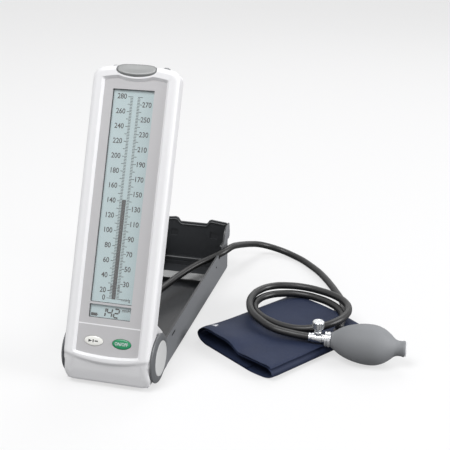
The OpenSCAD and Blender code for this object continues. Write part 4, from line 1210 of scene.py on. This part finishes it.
class SPHYG_OT_bulb(bpy.types.Operator):
    """Turns the rubber bulb and its end valve"""
    bl_idname = "sphyg.bulb"
    bl_label = "Bulb"

    def execute(self, context):
        outside = [
            (7.6, 0), (8.3, 0.25), (8.8, 0.9), (9.5, 2.2), (10.4, 3.6), (13.2, 7.5), (15.3, 11), (17.1, 15),
            (18.4, 18.6), (19.5, 22.3), (20.4, 26), (21.15, 30), (21.7, 34), (21.95, 38), (22, 41.5),
            (21.85, 45), (21.3, 49), (20.3, 52.2), (19, 55.5), (17.4, 58.3), (15.5, 61.1), (13.5, 63.6),
            (11.6, 65.6), (10.1, 67.3), (9.1, 68.8), (8.5, 70.4), (8.25, 72), (8.2, 75.4), (8.6, 76.4),
            (8.75, 77.6), (8.5, 78.5), (7.9, 78.95)]
        inside = [(6.6, 79), (6.6, 70), (6.9, 67.5), (9, 64.5), (13, 60.2), (16.5, 56), (18.9, 50),
                  (19.4, 41.5), (18.6, 31), (15.5, 18), (10.8, 8), (7, 2.5), (5.6, 0)]
        bulb = turned("rubber_bulb", outside + inside, 96)
        finish(bulb, "bulb", "base", ["bulb"], BULB, 60, False)
        plug = turned("end_valve", [(1.5, 72), (6.5, 72), (6.5, 79.1), (7.7, 79.15), (7.9, 79.5),
                                    (7.7, 80.1), (7.0, 80.4), (3.4, 80.4), (3.1, 79.9), (2.2, 79.7),
                                    (1.5, 79.7)], 64)
        finish(plug, "valve_plug", "base", ["bulb_end_valve"], BULB, 50)
        return {"FINISHED"}


class SPHYG_OT_valve(bpy.types.Operator):
    """Turns the chromed valve: its tail, collar, turret and knurled knob"""
    bl_idname = "sphyg.valve"
    bl_label = "Release valve"

    def execute(self, context):
        tail_x, collar_x = 188.5 - BULB_X, 206 - BULB_X  # where the barrel and the collar start
        barrel = turned("valve_barrel", [(r, a + tail_x) for r, a in (
            (1.7, 0), (4.6, 0), (4.9, 0.3), (4.9, 1.8), (4.5, 2.1), (4.5, 2.9), (5.0, 3.3), (5.3, 4.2),
            (5.3, 13.6), (5.1, 14.3), (4.6, 14.8), (4.6, 17.3), (4.35, 17.4), (4.35, 27.0),
            (1.7, 27.0))], 64)
        barrel.data.transform(BULB)
        post = turned("valve_turret", [(2.06, 0.5), (3.9, 0.5), (3.9, 5.2), (4.4, 6.2), (4.4, 7.6),
                                       (3.9, 8.2), (3.6, 8.6), (3.6, 9.3), (2.06, 9.4)], 64)
        post.data.transform(at(VALVE_X, BULB_Y, BULB_Z))
        finish(joined("valve_chrome", [barrel, post]), "chrome", "base", ["valve_body"], angle=40)
        collar = turned("valve_ring", [(r, a + collar_x) for r, a in (
            (4.7, 0), (7.6, 0), (8.5, 0.35), (8.7, 0.8), (8.7, 2.3), (8.0, 2.7), (8.0, 3.3), (8.7, 3.7),
            (8.7, 5.4), (8.4, 6.2), (7.6, 7.2), (4.7, 7.2))], 96)
        finish(collar, "chrome", "base", ["valve_collar"], BULB, 40)
        rings = []
        for z, radius, groove in ((0, 4.4, 0), (0.4, 5.2, 0), (1.0, 5.5, 0), (1.3, 6.5, 1.0),
                                  (7.9, 6.5, 1.0), (8.4, 6.2, 0.8), (8.8, 5.6, 0.4), (9, 5.2, 0.1),
                                  (9, 4.8, 0), (9, 3.2, 0), (8.7, 2.9, 0), (8.7, 1.2, 0)):
            cut = [radius - groove * (i % 8 < 3) for i in range(112)]  # 14 grooves, three points wide
            rings.append([(r * math.cos(2 * math.pi * i / 112), r * math.sin(2 * math.pi * i / 112), z)
                          for i, r in enumerate(cut)])
        finish(loft("knurled_knob", rings, True, True), "knurl", "knob", ["release_knob"],
               at(VALVE_X, BULB_Y, KNOB_Z), 30)
        return {"FINISHED"}


INNER = {
    "inner": ("screen_holder", "battery_tray"), "circuit": ("circuit_board", "key_board"),
    "sensor": ("pressure_sensor",), "tubing": ("sensor_tube", "union_tube"), "key_rubber": ("key_pad",),
    "battery": ("batteries",), "bronze": ("left_hinge_bushing", "right_hinge_bushing"),
    "union": ("air_union",), "manifold": ("air_manifold",), "foot": ("front_foot", "rear_feet"),
    "chrome": ("hose_nipple",),
    "steel": ("battery_contacts", "latch_springs", "strap_rivets", "left_hinge_pin", "right_hinge_pin",
              "hinge_washers", "hinge_nuts", "manifold_screws", "cover_screws", "release_stem"),
}


class SPHYG_OT_inner_parts(bpy.types.Operator):
    """Finishes the small and inner solids that keep their shapes"""
    bl_idname = "sphyg.inner_parts"
    bl_label = "Inner and small parts"

    def execute(self, context):
        for key, nodes in INNER.items():
            for node in nodes:
                dress(node, key)
        return {"FINISHED"}


# Stage

# The photograph's camera: its place in metres, how far it turns left, looks down and leans in degrees,
# and its focal length over the picture's width
CAMERA_PLACE, CAMERA_TURN = (0.293925, -0.728734, 0.467739), (13.73, 20.959, 0.763)
CAMERA_FOCAL, SENSOR_MM = 850.376 / 450, 36


class SPHYG_OT_stage(bpy.types.Operator):
    """Sets the camera, the pale floor, the studio lamps and the white surroundings"""
    bl_idname = "sphyg.stage"
    bl_label = "Stage"

    def execute(self, context):
        self.camera(context)
        self.floor()
        self.lamps(context)
        return {"FINISHED"}

    def camera(self, context):
        yaw, pitch, roll = CAMERA_TURN
        data = bpy.data.cameras.new("Camera")
        data.sensor_width = SENSOR_MM
        data.lens = CAMERA_FOCAL * SENSOR_MM
        data.clip_start, data.clip_end = 0.01, 20
        camera = bpy.data.objects.new("Camera", data)
        context.scene.collection.objects.link(camera)
        aim = turn(yaw, "Z") @ turn(90 - pitch, "X") @ turn(roll, "Z")
        camera.matrix_world = Matrix.Translation(CAMERA_PLACE) @ aim
        context.scene.camera = camera

    def floor(self):
        floor = primitive("floor", bpy.ops.mesh.primitive_plane_add, size=12, location=(0.1, 0.1, -0.0002))
        material, shader = new_finish("pale_studio_floor", linear("#8f8f90"), 0.9)
        tree = material.node_tree
        path = add_node(material, "ShaderNodeLightPath")
        glow = add_node(material, "ShaderNodeEmission", Strength=0.63)
        none = add_node(material, "ShaderNodeEmission", Strength=0.0)
        mix = add_node(material, "ShaderNodeMixShader",
                       {0: path.outputs["Is Camera Ray"], 1: none.outputs[0], 2: glow.outputs[0]})
        both = add_node(material, "ShaderNodeAddShader", {0: shader.outputs[0], 1: mix.outputs[0]})
        output = next(n for n in tree.nodes if n.type == "OUTPUT_MATERIAL")
        tree.links.new(both.outputs[0], output.inputs["Surface"])
        floor.data.materials.append(material)

    def lamps(self, context):
        for name, place, aim, size, energy in (
                ("key_lamp", (-0.5, -1.0, 2.2), (0.05, 0.1, 0.1), 1.3, 36),
                ("fill_lamp", (2.3, 0.0, 1.0), (0.1, 0.1, 0.1), 1.3, 38),
                ("back_lamp", (0.3, 1.7, 1.9), (0.1, 0.1, 0.1), 1.4, 12)):
            data = bpy.data.lights.new(name, "AREA")
            data.shape = "DISK"
            data.size = size
            data.energy = energy
            lamp = bpy.data.objects.new(name, data)
            context.scene.collection.objects.link(lamp)
            lamp.location = place
            lamp.rotation_euler = (Vector(aim) - Vector(place)).to_track_quat("-Z", "Y").to_euler()
        world = bpy.data.worlds.new("studio")
        context.scene.world = world
        world.use_nodes = True
        world.node_tree.nodes.clear()
        path = add_node(world, "ShaderNodeLightPath")
        seen = path.outputs["Is Camera Ray"]
        for ray in ("Is Glossy Ray", "Is Transmission Ray"):
            either = add_node(world, "ShaderNodeMath", {0: seen, 1: path.outputs[ray]}, operation="MAXIMUM")
            seen = either.outputs[0]
        level = add_node(world, "ShaderNodeMapRange", {"Value": seen}, To_Min=0.34, To_Max=1.0)
        sky = add_node(world, "ShaderNodeBackground", {"Strength": level.outputs[0]})
        sky.inputs["Color"].default_value = (1, 1, 1, 1)
        add_node(world, "ShaderNodeOutputWorld", {"Surface": sky.outputs[0]})
        context.scene.view_settings.view_transform = "Standard"


PIECES = (
    SPHYG_OT_stage, SPHYG_OT_hoses, SPHYG_OT_front_cover, SPHYG_OT_rear_cover, SPHYG_OT_panel,
    SPHYG_OT_screen, SPHYG_OT_keys, SPHYG_OT_release, SPHYG_OT_hinge_covers, SPHYG_OT_case, SPHYG_OT_cuff,
    SPHYG_OT_bulb, SPHYG_OT_valve, SPHYG_OT_inner_parts,
)


class SPHYG_PT_pieces(bpy.types.Panel):
    """Lists the sizes, the colours and the pieces"""
    bl_idname = "SPHYG_PT_pieces"
    bl_label = "Sphygmomanometer"
    bl_space_type = "VIEW_3D"
    bl_region_type = "UI"
    bl_category = "Sphygmomanometer"

    def draw(self, context):
        for group in (context.scene.sphyg_sizes, context.scene.sphyg_colours):
            for key in group.__annotations__:
                self.layout.prop(group, key)
        for piece in PIECES:
            self.layout.operator(piece.bl_idname)


CLASSES = (SphygSizes, SphygColours, *PIECES, SPHYG_PT_pieces)


def register():
    for cls in CLASSES:
        bpy.utils.register_class(cls)
    bpy.types.Scene.sphyg_sizes = bpy.props.PointerProperty(type=SphygSizes)
    bpy.types.Scene.sphyg_colours = bpy.props.PointerProperty(type=SphygColours)


def unregister():
    del bpy.types.Scene.sphyg_colours
    del bpy.types.Scene.sphyg_sizes
    for cls in reversed(CLASSES):
        bpy.utils.unregister_class(cls)


def main():
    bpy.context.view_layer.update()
    register()
    make_finishes(bpy.context.scene.sphyg_colours)
    for piece in PIECES:
        group, name = piece.bl_idname.split(".")
        getattr(getattr(bpy.ops, group), name)()


if __name__ == "__main__":
    main()
